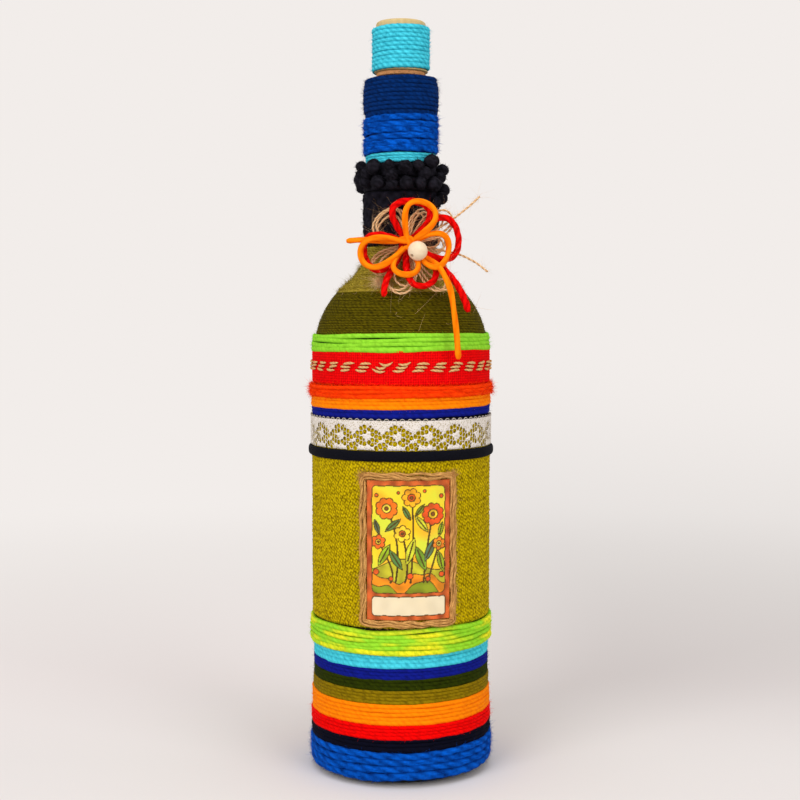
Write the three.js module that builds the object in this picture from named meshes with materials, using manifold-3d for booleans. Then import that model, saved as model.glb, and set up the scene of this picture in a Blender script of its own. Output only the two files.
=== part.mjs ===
// A wine bottle dressed by hand: yarn wound from foot to mouth, ribbons, lace, burlap, pompom trim,
// a framed picture card, a bow of three cords with a bead, and a yarn-wound stopper that pulls out.
// Millimetres, +Z up. The bottle stands on z = 0, its axis is the Z axis and its front faces -Y.
import * as THREE from "three";
import { mergeVertices } from "three/addons/utils/BufferGeometryUtils.js";
import Module from "manifold-3d";

const wasm = await Module();
wasm.setup();

// Glass bottle.
const GLASS_HEIGHT = 301.5;
const BODY_RADIUS = 37.3;
const WALL = 3.4;
const BASE_THICKNESS = 5;
const HEEL_RADIUS = 7;
const STANDING_RING_WIDTH = 4.5;
const PUNT_HEIGHT = 18;
const PUNT_FULLNESS = 0.6;
const UPPER_HEIGHT = 118.5;
const SHOULDER_RADIUS = 37.7;
const NECK_FLARE_RADIUS = 25;
const NECK_RADIUS = 14.2;
const FINISH_RADIUS = 14.7;
const FINISH_HEIGHT = 16;
const FINISH_STEP = 1;
const LIP_ROUND = 0.8;
const MOUTH_RADIUS = 9.25;
const MOUTH_LENGTH = 28;
const MOUTH_TAPER = 10;

// Stopper: a turned wooden head glued on a cork shank.
const SHANK_INSERT = 23;
const SHANK_CLEARANCE = 0.25;
const SHANK_CHAMFER = 1.5;
const SHANK_COLLAR_RADIUS = 10.8;
const SHANK_COLLAR_HEIGHT = 1.1;
const SHANK_FLARE_HEIGHT = 0.7;
const HEAD_RADIUS = 10.8;
const HEAD_HEIGHT = 22.6;
const HEAD_RIM_RADIUS = 11.7;
const HEAD_RIM_HEIGHT = 0.8;
const HEAD_CHAMFER = 1;

// Gaps: between neighbouring pieces, between the turns of one yarn, and at a yarn's cut ends.
const GAP = 0.3;
const TURN_GAP = 0.45;
const CUT_GAP = 0.5;

// Facets round the glass, round a turn on the body and round a turn on the neck.
const GLASS_SEGMENTS = 28;
const BODY_STEPS = 14;
const NECK_STEPS = 10;

// Facets along the arcs of the glass: the punt, the outside, the lip and the inside.
const PUNT_DIVISIONS = 3;
const OUTSIDE_DIVISIONS = 2;
const LIP_DIVISIONS = 1;
const INSIDE_DIVISIONS = 1;

// Steps of a band that follows the flare into the neck.
const FLARE_STEPS = 3;

// Yarns, from the foot up: the pitch of the turns and the thickness off the glass.
const FOOT_ROYAL_PITCH = 2.9;
const FOOT_ROYAL_THICKNESS = 2.8;
const FOOT_NAVY_PITCH = 1.6;
const FOOT_NAVY_THICKNESS = 2.3;
const FOOT_RED_PITCH = 1.48;
const FOOT_RED_THICKNESS = 2.4;
const FOOT_ORANGE_PITCH = 1.74;
const FOOT_ORANGE_THICKNESS = 2;
const FOOT_OLIVE_PITCH = 1.4;
const FOOT_OLIVE_THICKNESS = 1.5;
const FOOT_GREEN_PITCH = 1.61;
const FOOT_GREEN_THICKNESS = 1.2;
const FOOT_ULTRAMARINE_PITCH = 1.48;
const FOOT_ULTRAMARINE_THICKNESS = 1.2;
const FOOT_TURQUOISE_PITCH = 1.94;
const FOOT_TURQUOISE_THICKNESS = 1.2;
const FOOT_VARIEGATED_PITCH = 1.75;
const FOOT_VARIEGATED_THICKNESS = 2.8;
const WAIST_ULTRAMARINE_PITCH = 1.75;
const WAIST_ULTRAMARINE_THICKNESS = 1.8;
const WAIST_ORANGE_PITCH = 1.6;
const WAIST_ORANGE_THICKNESS = 2.1;
const WAIST_FLAME_PITCH = 1.5;
const WAIST_FLAME_THICKNESS = 2.8;
const SHOULDER_LIME_PITCH = 1.75;
const SHOULDER_LIME_THICKNESS = 1.7;
const DARK_THREAD_PITCH = 1.97;
const DARK_THREAD_THICKNESS = 0.9;
const LIGHT_THREAD_PITCH = 2.45;
const LIGHT_THREAD_THICKNESS = 0.9;
const NECK_TURQUOISE_PITCH = 1.25;
const NECK_TURQUOISE_THICKNESS = 1.1;
const NECK_ROYAL_PITCH = 2.6;
const NECK_ROYAL_THICKNESS = 2;
const NECK_NAVY_PITCH = 1.68;
const NECK_NAVY_THICKNESS = 1.2;
const STOPPER_PITCH = 1.8;
const STOPPER_THICKNESS = 1.7;

// The yarns in the order that they were wound, with their turns and colours.
// The thick ones have a section of 4 sides with a flat crest, the others of 3.
const CREST_SHARE = 0.55;
const FOOT_EDGE = 6.4;
const yarnOf = (name, turns, pitch, thick, colour, sides = 3) => {
  return { name, turns, pitch, thick, colour, sides };
};
const FOOT_YARNS = [
  yarnOf("foot_royal_yarn", 4, FOOT_ROYAL_PITCH, FOOT_ROYAL_THICKNESS, 0x0448aa, 4),
  yarnOf("foot_navy_yarn", 3, FOOT_NAVY_PITCH, FOOT_NAVY_THICKNESS, 0x0c0b1a),
  yarnOf("foot_red_yarn", 4, FOOT_RED_PITCH, FOOT_RED_THICKNESS, 0xeb0503),
  yarnOf("foot_orange_yarn", 5, FOOT_ORANGE_PITCH, FOOT_ORANGE_THICKNESS, 0xfc8a04),
  yarnOf("foot_olive_yarn", 4, FOOT_OLIVE_PITCH, FOOT_OLIVE_THICKNESS, 0x826c0a),
  yarnOf("foot_green_yarn", 3, FOOT_GREEN_PITCH, FOOT_GREEN_THICKNESS, 0x263004),
  yarnOf("foot_ultramarine_yarn", 3, FOOT_ULTRAMARINE_PITCH, FOOT_ULTRAMARINE_THICKNESS, 0x0f1880),
  yarnOf("foot_turquoise_yarn", 3, FOOT_TURQUOISE_PITCH, FOOT_TURQUOISE_THICKNESS, 0x4bcdde),
  yarnOf("foot_variegated_yarn", 6, FOOT_VARIEGATED_PITCH, FOOT_VARIEGATED_THICKNESS, 0xb0dc38, 4),
];
const WAIST_YARNS = [
  yarnOf("waist_ultramarine_yarn", 2, WAIST_ULTRAMARINE_PITCH, WAIST_ULTRAMARINE_THICKNESS, 0x141c80),
  yarnOf("waist_orange_yarn", 3, WAIST_ORANGE_PITCH, WAIST_ORANGE_THICKNESS, 0xfc8205),
  yarnOf("waist_flame_yarn", 3, WAIST_FLAME_PITCH, WAIST_FLAME_THICKNESS, 0xfa3004),
];
const SHOULDER_YARNS = [
  yarnOf("shoulder_lime_yarn", 4, SHOULDER_LIME_PITCH, SHOULDER_LIME_THICKNESS, 0x96d737),
  yarnOf("shoulder_dark_thread", 10, DARK_THREAD_PITCH, DARK_THREAD_THICKNESS, 0x4b4208),
  yarnOf("shoulder_light_thread", 10, LIGHT_THREAD_PITCH, LIGHT_THREAD_THICKNESS, 0x8a7c30),
];
const NECK_YARNS = [
  yarnOf("neck_turquoise_yarn", 3, NECK_TURQUOISE_PITCH, NECK_TURQUOISE_THICKNESS, 0x46cde4),
  yarnOf("neck_royal_yarn", 6, NECK_ROYAL_PITCH, NECK_ROYAL_THICKNESS, 0x0548a0, 4),
  yarnOf("neck_navy_yarn", 9, NECK_NAVY_PITCH, NECK_NAVY_THICKNESS, 0x04275f),
];
const STOPPER_YARN = yarnOf("stopper_yarn", 10, STOPPER_PITCH, STOPPER_THICKNESS, 0x46c8da);

// Flat bands that go once round the bottle: height and thickness. The red ribbon ends where the shoulder
// starts, and the neck ribbon fills what is left below the pompom trim.
const BURLAP_THICKNESS = 1.6;
const LACE_HEIGHT = 12.6;
const LACE_THICKNESS = 0.5;
const BRAID_HEIGHT = 4.4;
const BRAID_THICKNESS = 1;
const RED_RIBBON_HEIGHT = 12.86;
const RED_RIBBON_THICKNESS = 1.6;
const NECK_RIBBON_THICKNESS = 2.2;

// Stitches sewn along the red ribbon.
const STITCH_GROUPS = 30;
const STITCH_HEIGHT = 4.5;
const STITCH_WIDTH = 1;
const STITCH_RAISE = 0.8;

// Pompom trim: two rows, each a tape with its balls.
const TAPE_HEIGHT = 5.6;
const TAPE_THICKNESS = 2.4;
const POMPOM_RADIUS = 3.1;
const POMPOM_COUNT = 15;
const POMPOM_SINK = 1.3;
const POMPOM_FACETS = 6;
const LOWER_ROW_PHASE = 0.5;

// Picture card and the twine frame round it.
const CARD_WIDTH = 35;
const CARD_THICKNESS = 1.2;
const CARD_AZIMUTH = THREE.MathUtils.degToRad(4.8);
const CARD_LIFT = 0.4;
const CARD_HEADROOM = 4.6;
const FRAME_DIAMETER = 2.8;
const FRAME_SIDES = 8;
const FRAME_RUN_STEPS = 5;
const CARD_FACETS = 12;

// Bow: the knot's place right of the axis and below the neck, the cords' diameters,
// and the loops as angle, length and width.
const BOW_X = 3;
const BOW_DROP = 2.3;
const TWINE_DIAMETER = 1.2;
const RED_CORD_DIAMETER = 3.2;
const ORANGE_CORD_DIAMETER = 2.8;
const KNOT_RADIUS = 3.2;
const KNOT_START = 2.2;
const KNOT_DEPTH = 0.65;
const LAYER_GAP = 1.1;
const LEAN = 0.9;
const LEAN_FROM = 5;
const STRAND_SPREAD = 0.6;
const LOOP_POINTS = 12;
const LOOP_STEPS = 11;
const TWINE_SIDES = 4;
const CORD_SIDES = 5;
const TAIL_SIDES = 8;
const KNOT_FACETS = 8;
const TWINE_LOOPS = [
  [135, 17.3, 13],
  [62, 16.4, 6],
  [35, 22.1, 8],
  [2, 16, 6],
  [220, 18.9, 7],
  [259, 21.6, 10],
  [312, 25.6, 8],
];
const RED_LOOPS = [
  [85, 18, 14],
  [8, 21.9, 16],
  [197, 19.2, 13],
  [295, 20, 11],
];
const ORANGE_LOOPS = [
  [63, 19.8, 13],
  [344, 18.5, 13],
  [197, 21.7, 10.5],
  [274, 14, 11],
];

// Free tails of the bow's cords, from the knot to the cut end: right of, above and in front of the knot.
const TWINE_TAILS = [
  [[1.6, 0.8, 0.9], [8, 4, 1], [17, 9, 1.4], [25, 15, 1.6], [30.5, 20, 1.6]],
  [[1.8, -0.4, 0.9], [9, -2, 1], [20, -4, 1.5], [28, -7.5, 2], [34, -12, 2.4]],
];
const RED_TAILS = [
  [[-1, -1.5, 4.5], [-4, -6, 5.4], [-7, -11.7, 10.3], [-9.4, -16.5, 14.5], [-10.2, -22.5, 18]],
  [[1.5, -1.1, 4.5], [8, -6, 5.4], [15, -11, 9.9], [20, -17, 14.8], [23.5, -24, 17.5], [25, -29, 18.5]],
];
const ORANGE_TAILS = [
  [[-1.8, 0.2, 8.9], [-6, 0.6, 8.9], [-13, 1, 8.8], [-20, 1.3, 8.5], [-26, 0.8, 8.2]],
  [
    [1.4, -1.2, 8.9],
    [7, -6, 9.8],
    [12.3, -9.5, 13.4],
    [15.6, -15, 17.8],
    [17.5, -20, 20.3],
    [18.8, -28, 21.5],
    [20, -38, 21.8],
    [20.8, -48.5, 21],
  ],
];

// Bead on the bow, right of and above the knot.
const BEAD_RADIUS = 4.1;
const BEAD_HOLE_RADIUS = 0.8;
const BEAD_STAND = 0.6;
const BEAD_RIGHT = 4;
const BEAD_UP = -3.6;
const BEAD_TURN = THREE.MathUtils.degToRad(40);
const BEAD_FACETS = 12;

// Roughness of the surfaces, from polished glass to yarn.
const GLASS_ROUGHNESS = 0.08;
const BEAD_ROUGHNESS = 0.5;
const WOOD_ROUGHNESS = 0.6;
const CARD_ROUGHNESS = 0.6;
const YARN_ROUGHNESS = 0.9;

// Points nearer than this are one point.
const SAME_POINT = 1e-4;

const group = new THREE.Group();

function addPiece(name, geometry, colour, roughness = YARN_ROUGHNESS) {
  const material = new THREE.MeshStandardMaterial({ color: colour, roughness, metalness: 0 });
  const mesh = new THREE.Mesh(geometry, material);
  mesh.name = name;
  group.add(mesh);
}

// Turns a profile of [radius, height] pairs round the Z axis, with its first facet edge at the front.
function turned(profile, segments = GLASS_SEGMENTS) {
  const points = profile.map(([r, z]) => new THREE.Vector2(r, z));
  return new THREE.LatheGeometry(points, segments).rotateX(Math.PI / 2);
}

function solidOf(geometry) {
  const bare = geometry.index ? geometry.toNonIndexed() : geometry.clone();
  bare.deleteAttribute("normal");
  bare.deleteAttribute("uv");
  const merged = mergeVertices(bare, SAME_POINT);
  return new wasm.Manifold(
    new wasm.Mesh({
      numProp: 3,
      vertProperties: merged.attributes.position.array,
      triVerts: new Uint32Array(merged.index.array),
    }),
  );
}

function joined(geometries) {
  const mesh = geometries.map(solidOf).reduce((a, b) => a.add(b)).getMesh();
  const made = new THREE.BufferGeometry();
  made.setAttribute("position", new THREE.BufferAttribute(mesh.vertProperties, 3));
  made.setIndex(new THREE.BufferAttribute(mesh.triVerts, 1));
  made.computeVertexNormals();
  return made;
}

// Place round the bottle: azimuth from the front towards +X, radius and height.
function around(azimuth, radius, height) {
  return new THREE.Vector3(radius * Math.sin(azimuth), -radius * Math.cos(azimuth), height);
}

// Outline of the glass, from the edge of its standing ring up to the lip, as radius and height.
const shoulderStart = GLASS_HEIGHT - UPPER_HEIGHT;
const arcRadii = SHOULDER_RADIUS + NECK_FLARE_RADIUS;
const shoulderAngle = Math.acos(1 - (BODY_RADIUS - NECK_RADIUS) / arcRadii);
const neckStart = shoulderStart + arcRadii * Math.sin(shoulderAngle);
const finishStart = GLASS_HEIGHT - FINISH_HEIGHT;
const standingRadius = BODY_RADIUS - HEEL_RADIUS;

function glassOutline() {
  const path = new THREE.Path();
  path.moveTo(standingRadius, 0);
  path.absarc(standingRadius, HEEL_RADIUS, HEEL_RADIUS, -Math.PI / 2, 0, false);
  path.lineTo(BODY_RADIUS, shoulderStart);
  path.absarc(BODY_RADIUS - SHOULDER_RADIUS, shoulderStart, SHOULDER_RADIUS, 0, shoulderAngle, false);
  const flareCentre = NECK_RADIUS + NECK_FLARE_RADIUS;
  path.absarc(flareCentre, neckStart, NECK_FLARE_RADIUS, Math.PI + shoulderAngle, Math.PI, true);
  path.lineTo(NECK_RADIUS, finishStart);
  path.lineTo(FINISH_RADIUS, finishStart + FINISH_STEP);
  path.lineTo(FINISH_RADIUS, GLASS_HEIGHT - LIP_ROUND);
  return path;
}

const outline = glassOutline();
const outlineLength = outline.getLength();

// Point at a distance along the outline, stood off the glass by its normal.
function offGlass(along, off) {
  const share = THREE.MathUtils.clamp(along / outlineLength, 0, 1);
  const point = outline.getPoint(share);
  const tangent = outline.getTangent(share);
  return [point.x + tangent.y * off, point.y - tangent.x * off];
}

function plainPoints(path, arcDivisions) {
  const pairs = path.getPoints(arcDivisions).map((p) => [p.x, p.y]);
  const apart = (p, q) => Math.hypot(p[0] - q[0], p[1] - q[1]) > SAME_POINT;
  return pairs.filter((p, i) => i === 0 || apart(p, pairs[i - 1]));
}

function glassBottle() {
  const innerBody = BODY_RADIUS - WALL;
  const innerNeck = NECK_RADIUS - WALL;
  const innerHeel = HEEL_RADIUS - WALL / 2;
  const puntRadius = standingRadius - STANDING_RING_WIDTH;
  const punt = new THREE.Path();
  punt.moveTo(0, PUNT_HEIGHT);
  punt.quadraticCurveTo(puntRadius * PUNT_FULLNESS, PUNT_HEIGHT, puntRadius, 0);
  const lip = new THREE.Path();
  lip.absarc(FINISH_RADIUS - LIP_ROUND, GLASS_HEIGHT - LIP_ROUND, LIP_ROUND, 0, Math.PI / 2, false);
  const inside = new THREE.Path();
  inside.moveTo(MOUTH_RADIUS, GLASS_HEIGHT);
  inside.lineTo(MOUTH_RADIUS, GLASS_HEIGHT - MOUTH_LENGTH);
  inside.lineTo(innerNeck, GLASS_HEIGHT - MOUTH_LENGTH - MOUTH_TAPER);
  const flareCentre = NECK_RADIUS + NECK_FLARE_RADIUS;
  const flare = NECK_FLARE_RADIUS + WALL;
  inside.absarc(flareCentre, neckStart, flare, Math.PI, Math.PI + shoulderAngle, false);
  const shoulder = SHOULDER_RADIUS - WALL;
  inside.absarc(BODY_RADIUS - SHOULDER_RADIUS, shoulderStart, shoulder, shoulderAngle, 0, true);
  inside.lineTo(innerBody, BASE_THICKNESS + innerHeel);
  inside.absarc(innerBody - innerHeel, BASE_THICKNESS + innerHeel, innerHeel, 0, -Math.PI / 2, true);
  inside.lineTo(puntRadius, BASE_THICKNESS);
  const puntTop = PUNT_HEIGHT + BASE_THICKNESS;
  inside.quadraticCurveTo(puntRadius * PUNT_FULLNESS, puntTop, 0, puntTop);
  const profile = [
    ...plainPoints(punt, PUNT_DIVISIONS),
    ...plainPoints(outline, OUTSIDE_DIVISIONS),
    ...plainPoints(lip, LIP_DIVISIONS),
    ...plainPoints(inside, INSIDE_DIVISIONS),
  ];
  addPiece("glass_bottle", turned(profile), 0x1c2216, GLASS_ROUGHNESS);
}

// One yarn wound as an unbroken tube. A section stands at each corner of its turns, flat on the glass.
const yarnWidth = ({ pitch }) => pitch - TURN_GAP;

function section(yarn) {
  const half = yarnWidth(yarn) / 2;
  if (yarn.sides === 4) {
    const crest = half * CREST_SHARE;
    return [[-half, 0], [-crest, yarn.thick], [crest, yarn.thick], [half, 0]];
  }
  return [[-half, 0], [0, yarn.thick], [half, 0]];
}

function tubeFromRings(rings) {
  const sides = rings[0].length;
  const positions = rings.flat().flatMap((p) => [p.x, p.y, p.z]);
  const faces = [];
  for (let i = 0; i + 1 < rings.length; i++) {
    for (let k = 0; k < sides; k++) {
      const next = (k + 1) % sides;
      const a = i * sides + k;
      const b = i * sides + next;
      const c = a + sides;
      const d = b + sides;
      faces.push(a, c, b, b, c, d);
    }
  }
  const last = (rings.length - 1) * sides;
  for (let k = 1; k + 1 < sides; k++) {
    faces.push(0, k, k + 1, last, last + k + 1, last + k);
  }
  const made = new THREE.BufferGeometry();
  made.setAttribute("position", new THREE.Float32BufferAttribute(positions, 3));
  made.setIndex(faces);
  made.computeVertexNormals();
  return made;
}

function leastGap(rings, stepsPerTurn) {
  let least = Infinity;
  for (let i = 0; i + stepsPerTurn < rings.length; i++) {
    for (const p of rings[i]) {
      for (const q of rings[i + stepsPerTurn]) {
        least = Math.min(least, p.distanceTo(q));
      }
    }
  }
  return least;
}

// place(along, off) gives [radius, height] on what the yarn is wound round.
// start is the centre of the first turn.
function windYarn(yarn, place, start, firstRise, steps) {
  const spread = 1 / Math.cos(Math.PI / steps);
  const corners = yarn.turns * steps;
  const rings = [];
  for (let i = 0; i <= corners; i++) {
    const turn = i / steps;
    const along = start + firstRise * Math.min(turn, 1) + yarn.pitch * Math.max(turn - 1, 0);
    const radiusHere = place(along, 0)[0];
    const cut = CUT_GAP / 2 / radiusHere;
    let azimuth = Math.PI + 2 * Math.PI * turn;
    if (i === 0) azimuth += cut;
    if (i === corners) azimuth -= cut;
    const ring = section(yarn).map(([across, off]) => {
      const [radius, height] = place(along + across, GAP + off);
      return around(azimuth, radius * spread, height);
    });
    rings.push(ring);
  }
  console.log(`${yarn.name}: least gap between turns ${leastGap(rings, steps).toFixed(2)} mm`);
  addPiece(yarn.name, tubeFromRings(rings), yarn.colour);
}

// Centre lines of yarns wound one after another: each starts where the last one was cut.
function planWinding(yarns) {
  let centre = yarnWidth(yarns[0]) / 2;
  let before = yarns[0].pitch;
  const starts = [];
  for (const yarn of yarns) {
    centre += Math.max(0, (yarn.pitch - before) / 2);
    const firstRise = Math.max(yarn.pitch, (yarn.pitch + before) / 2);
    starts.push({ yarn, centre, firstRise });
    centre += firstRise + yarn.pitch * (yarn.turns - 1);
    before = yarn.pitch;
  }
  return { starts, height: centre + yarnWidth(yarns.at(-1)) / 2 };
}

function windAll(plan, place, edge, steps) {
  for (const { yarn, centre, firstRise } of plan.starts) {
    windYarn(yarn, place, edge + centre, firstRise, steps);
  }
}

// A band that goes once round, between two distances along the outline, in steps where the glass curves.
function bandProfile(from, to, under, thickness, bandSteps = 1) {
  const inner = [];
  const outer = [];
  for (let i = 0; i <= bandSteps; i++) {
    const along = THREE.MathUtils.lerp(from, to, i / bandSteps);
    outer.push(offGlass(along, under + thickness));
    inner.unshift(offGlass(along, under));
  }
  return [...outer, ...inner, outer[0]];
}

// Where each band lies along the outline. The burlap takes up what the others leave on the straight body.
const footPlan = planWinding(FOOT_YARNS);
const waistPlan = planWinding(WAIST_YARNS);
const shoulderPlan = planWinding(SHOULDER_YARNS);
const neckPlan = planWinding(NECK_YARNS);
const neckEdge = outlineLength - neckPlan.height;
const upperTapeEdge = neckEdge - GAP - TAPE_HEIGHT;
const lowerTapeEdge = upperTapeEdge - GAP - TAPE_HEIGHT;
const redRibbonTop = (Math.PI / 2) * HEEL_RADIUS + shoulderStart - HEEL_RADIUS;
const redRibbonEdge = redRibbonTop - RED_RIBBON_HEIGHT;
const shoulderEdge = redRibbonTop + GAP;
const neckRibbonEdge = shoulderEdge + shoulderPlan.height + GAP;
const neckRibbonTop = lowerTapeEdge - GAP;
const waistEdge = redRibbonEdge - GAP - waistPlan.height;
const burlapTop = waistEdge - GAP;
const laceEdge = burlapTop - LACE_HEIGHT;
const braidEdge = laceEdge - GAP - BRAID_HEIGHT;
const burlapEdge = FOOT_EDGE + footPlan.height + GAP;
const burlapOff = GAP + BURLAP_THICKNESS;
const neckRibbonOff = GAP + NECK_RIBBON_THICKNESS;

function band(name, from, to, under, thickness, colour, bandSteps) {
  addPiece(name, turned(bandProfile(from, to, under, thickness, bandSteps)), colour);
}

function bands() {
  band("burlap_wrap", burlapEdge, burlapTop, GAP, BURLAP_THICKNESS, 0xb2980e);
  band("lace_ribbon", laceEdge, burlapTop, burlapOff + GAP, LACE_THICKNESS, 0xe1d7cd);
  band("black_braid", braidEdge, braidEdge + BRAID_HEIGHT, burlapOff + GAP, BRAID_THICKNESS, 0x111218);
  band("red_ribbon", redRibbonEdge, redRibbonTop, GAP, RED_RIBBON_THICKNESS, 0xe40c0a);
  const neckThick = NECK_RIBBON_THICKNESS;
  band("neck_black_ribbon", neckRibbonEdge, neckRibbonTop, GAP, neckThick, 0x191720, FLARE_STEPS);
}

// Zigzag stitches along the middle of the red ribbon, one thread that runs all the way round.
function stitchThread() {
  const middle = redRibbonEdge + RED_RIBBON_HEIGHT / 2;
  const corners = STITCH_GROUPS * 2;
  const reach = (STITCH_HEIGHT - STITCH_WIDTH) / 2;
  const off = GAP + RED_RIBBON_THICKNESS + GAP;
  const rings = [];
  for (let i = 0; i < corners; i++) {
    const along = middle + (i % 2 ? reach : -reach);
    const azimuth = Math.PI + (2 * Math.PI * i) / corners;
    const half = STITCH_WIDTH / 2;
    const corner = [[-half, 0], [0, STITCH_RAISE], [half, 0]];
    rings.push(
      corner.map(([across, raise]) => {
        const [radius, height] = offGlass(along + across, off + raise);
        return around(azimuth, radius, height);
      }),
    );
  }
  addPiece("stitch_thread", tubeFromRings(rings), 0xe19164);
}

function pompomTrim(name, edge, phase) {
  const tape = turned(bandProfile(edge, edge + TAPE_HEIGHT, GAP, TAPE_THICKNESS));
  const off = GAP + TAPE_THICKNESS + POMPOM_RADIUS - POMPOM_SINK;
  const [radius, height] = offGlass(edge + TAPE_HEIGHT / 2, off);
  const balls = [];
  for (let i = 0; i < POMPOM_COUNT; i++) {
    const azimuth = (2 * Math.PI * (i + phase)) / POMPOM_COUNT;
    const centre = around(azimuth, radius, height);
    const ball = new THREE.SphereGeometry(POMPOM_RADIUS, POMPOM_FACETS, POMPOM_FACETS / 2);
    ball.rotateX(Math.PI / 2).rotateZ(azimuth);
    balls.push(ball.translate(centre.x, centre.y, centre.z));
  }
  addPiece(name, joined([tape, ...balls]), 0x191720);
}

// A round tube along a curve through points.
function cordTube(points, diameter, steps, sides) {
  const shape = new THREE.Shape();
  for (let k = 0; k < sides; k++) {
    const angle = (2 * Math.PI * k) / sides;
    const x = (diameter / 2) * Math.cos(angle);
    const y = (diameter / 2) * Math.sin(angle);
    if (k === 0) {
      shape.moveTo(x, y);
    } else {
      shape.lineTo(x, y);
    }
  }
  shape.closePath();
  const path = new THREE.CatmullRomCurve3(points);
  return new THREE.ExtrudeGeometry(shape, { steps, extrudePath: path, bevelEnabled: false });
}

// Picture card, bent to the bottle, and the twine laid round its edge on the burlap.
const cardRadius = BODY_RADIUS + burlapOff + GAP;
const frameWidth = CARD_WIDTH + FRAME_DIAMETER + 2 * GAP;
const frameBottom = offGlass(burlapEdge, 0)[1] + CARD_LIFT + FRAME_DIAMETER / 2;
const frameTop = offGlass(braidEdge, 0)[1] - CARD_HEADROOM - FRAME_DIAMETER / 2;
const frameHeight = frameTop - frameBottom;
const frameMiddle = (frameTop + frameBottom) / 2;
const cardHeight = frameHeight - FRAME_DIAMETER - 2 * GAP;

function pictureCard() {
  const half = CARD_WIDTH / 2 / cardRadius;
  const from = CARD_AZIMUTH - Math.PI / 2 - half;
  const to = CARD_AZIMUTH - Math.PI / 2 + half;
  const outerRadius = cardRadius + CARD_THICKNESS;
  const shape = new THREE.Shape();
  shape.absarc(0, 0, outerRadius, from, to, false);
  shape.absarc(0, 0, cardRadius, to, from, true);
  const settings = { depth: cardHeight, bevelEnabled: false, curveSegments: CARD_FACETS };
  const card = new THREE.ExtrudeGeometry(shape, settings);
  card.translate(0, 0, frameMiddle - cardHeight / 2);
  addPiece("picture_card", card, 0xc8b43c, CARD_ROUGHNESS);
}

// Places along one side of the frame, from one distance across to another.
function frameRun(from, to, up, steps) {
  const run = [];
  for (let i = 0; i <= steps; i++) {
    run.push([THREE.MathUtils.lerp(from, to, i / steps), up]);
  }
  return run;
}

function twineFrame() {
  const radius = cardRadius + FRAME_DIAMETER / 2;
  const halfW = frameWidth / 2;
  const halfH = frameHeight / 2;
  const route = [
    ...frameRun(CUT_GAP, halfW, -halfH, FRAME_RUN_STEPS),
    ...frameRun(halfW, -halfW, halfH, 2 * FRAME_RUN_STEPS),
    ...frameRun(-halfW, -CUT_GAP, -halfH, FRAME_RUN_STEPS),
  ];
  const azimuths = route.map(([across]) => CARD_AZIMUTH + across / cardRadius);
  const points = route.map(([, up], i) => around(azimuths[i], radius, frameMiddle + up));
  const rings = points.map((point, i) => {
    const outward = around(azimuths[i], 1, 0);
    const before = points[i].clone().sub(points[Math.max(i - 1, 0)]);
    const after = points[Math.min(i + 1, points.length - 1)].clone().sub(point);
    const sideBefore = outward.clone().cross(i === 0 ? after : before).normalize();
    const sideAfter = outward.clone().cross(i === points.length - 1 ? before : after).normalize();
    const mitre = sideBefore.clone().add(sideAfter).divideScalar(1 + sideBefore.dot(sideAfter));
    const ring = [];
    for (let k = 0; k < FRAME_SIDES; k++) {
      const angle = (2 * Math.PI * (k + 0.5)) / FRAME_SIDES;
      const out = outward.clone().multiplyScalar((FRAME_DIAMETER / 2) * Math.cos(angle));
      const across = mitre.clone().multiplyScalar((FRAME_DIAMETER / 2) * Math.sin(angle));
      ring.push(point.clone().add(out).add(across));
    }
    return ring;
  });
  addPiece("twine_frame", tubeFromRings(rings), 0xa5734b);
}

// Bow. Its cords lie in layers in front of the neck ribbon, and lean out over the shoulder below the knot.
const bowFront = NECK_RADIUS + neckRibbonOff + GAP;
const bowHeight = neckStart - BOW_DROP;
const twineLayer = GAP + TWINE_DIAMETER / 2;
const redLayer = twineLayer + TWINE_DIAMETER / 2 + LAYER_GAP + GAP + RED_CORD_DIAMETER / 2;
const orangeLayer = redLayer + RED_CORD_DIAMETER / 2 + LAYER_GAP + GAP + ORANGE_CORD_DIAMETER / 2;

function bowPoint(right, up, front) {
  return new THREE.Vector3(BOW_X + right, -(bowFront + front), bowHeight + up);
}

// A loop leaves the knot and comes back to it with its two strands side by side.
function loopPoints([degrees, length, width], layer, diameter) {
  const direction = THREE.MathUtils.degToRad(degrees);
  const strandOffset = STRAND_SPREAD * diameter;
  const points = [];
  for (let i = 0; i <= LOOP_POINTS; i++) {
    const t = i / LOOP_POINTS;
    const out = THREE.MathUtils.lerp(KNOT_START, length, Math.sin(Math.PI * t));
    const across = (width / 2) * Math.sin(2 * Math.PI * t) + strandOffset * Math.cos(Math.PI * t);
    const right = out * Math.cos(direction) + across * Math.sin(direction);
    const up = out * Math.sin(direction) - across * Math.cos(direction);
    points.push(bowPoint(right, up, layer + LEAN * Math.max(0, -up - LEAN_FROM)));
  }
  return points;
}

function bowCord(name, loops, tails, layer, diameter, loopSides, colour) {
  const knot = new THREE.SphereGeometry(1, KNOT_FACETS, KNOT_FACETS / 2).rotateX(Math.PI / 2);
  knot.scale(KNOT_RADIUS, KNOT_DEPTH * diameter, KNOT_RADIUS);
  const centre = bowPoint(0, 0, layer);
  const pieces = [knot.translate(centre.x, centre.y, centre.z)];
  for (const loop of loops) {
    const points = loopPoints(loop, layer, diameter);
    pieces.push(cordTube(points, diameter, LOOP_STEPS, loopSides));
  }
  for (const tail of tails) {
    const points = tail.map(([right, up, front]) => bowPoint(right, up, front));
    pieces.push(cordTube(points, diameter, tail.length + 2, TAIL_SIDES));
  }
  addPiece(name, joined(pieces), colour);
}

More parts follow.
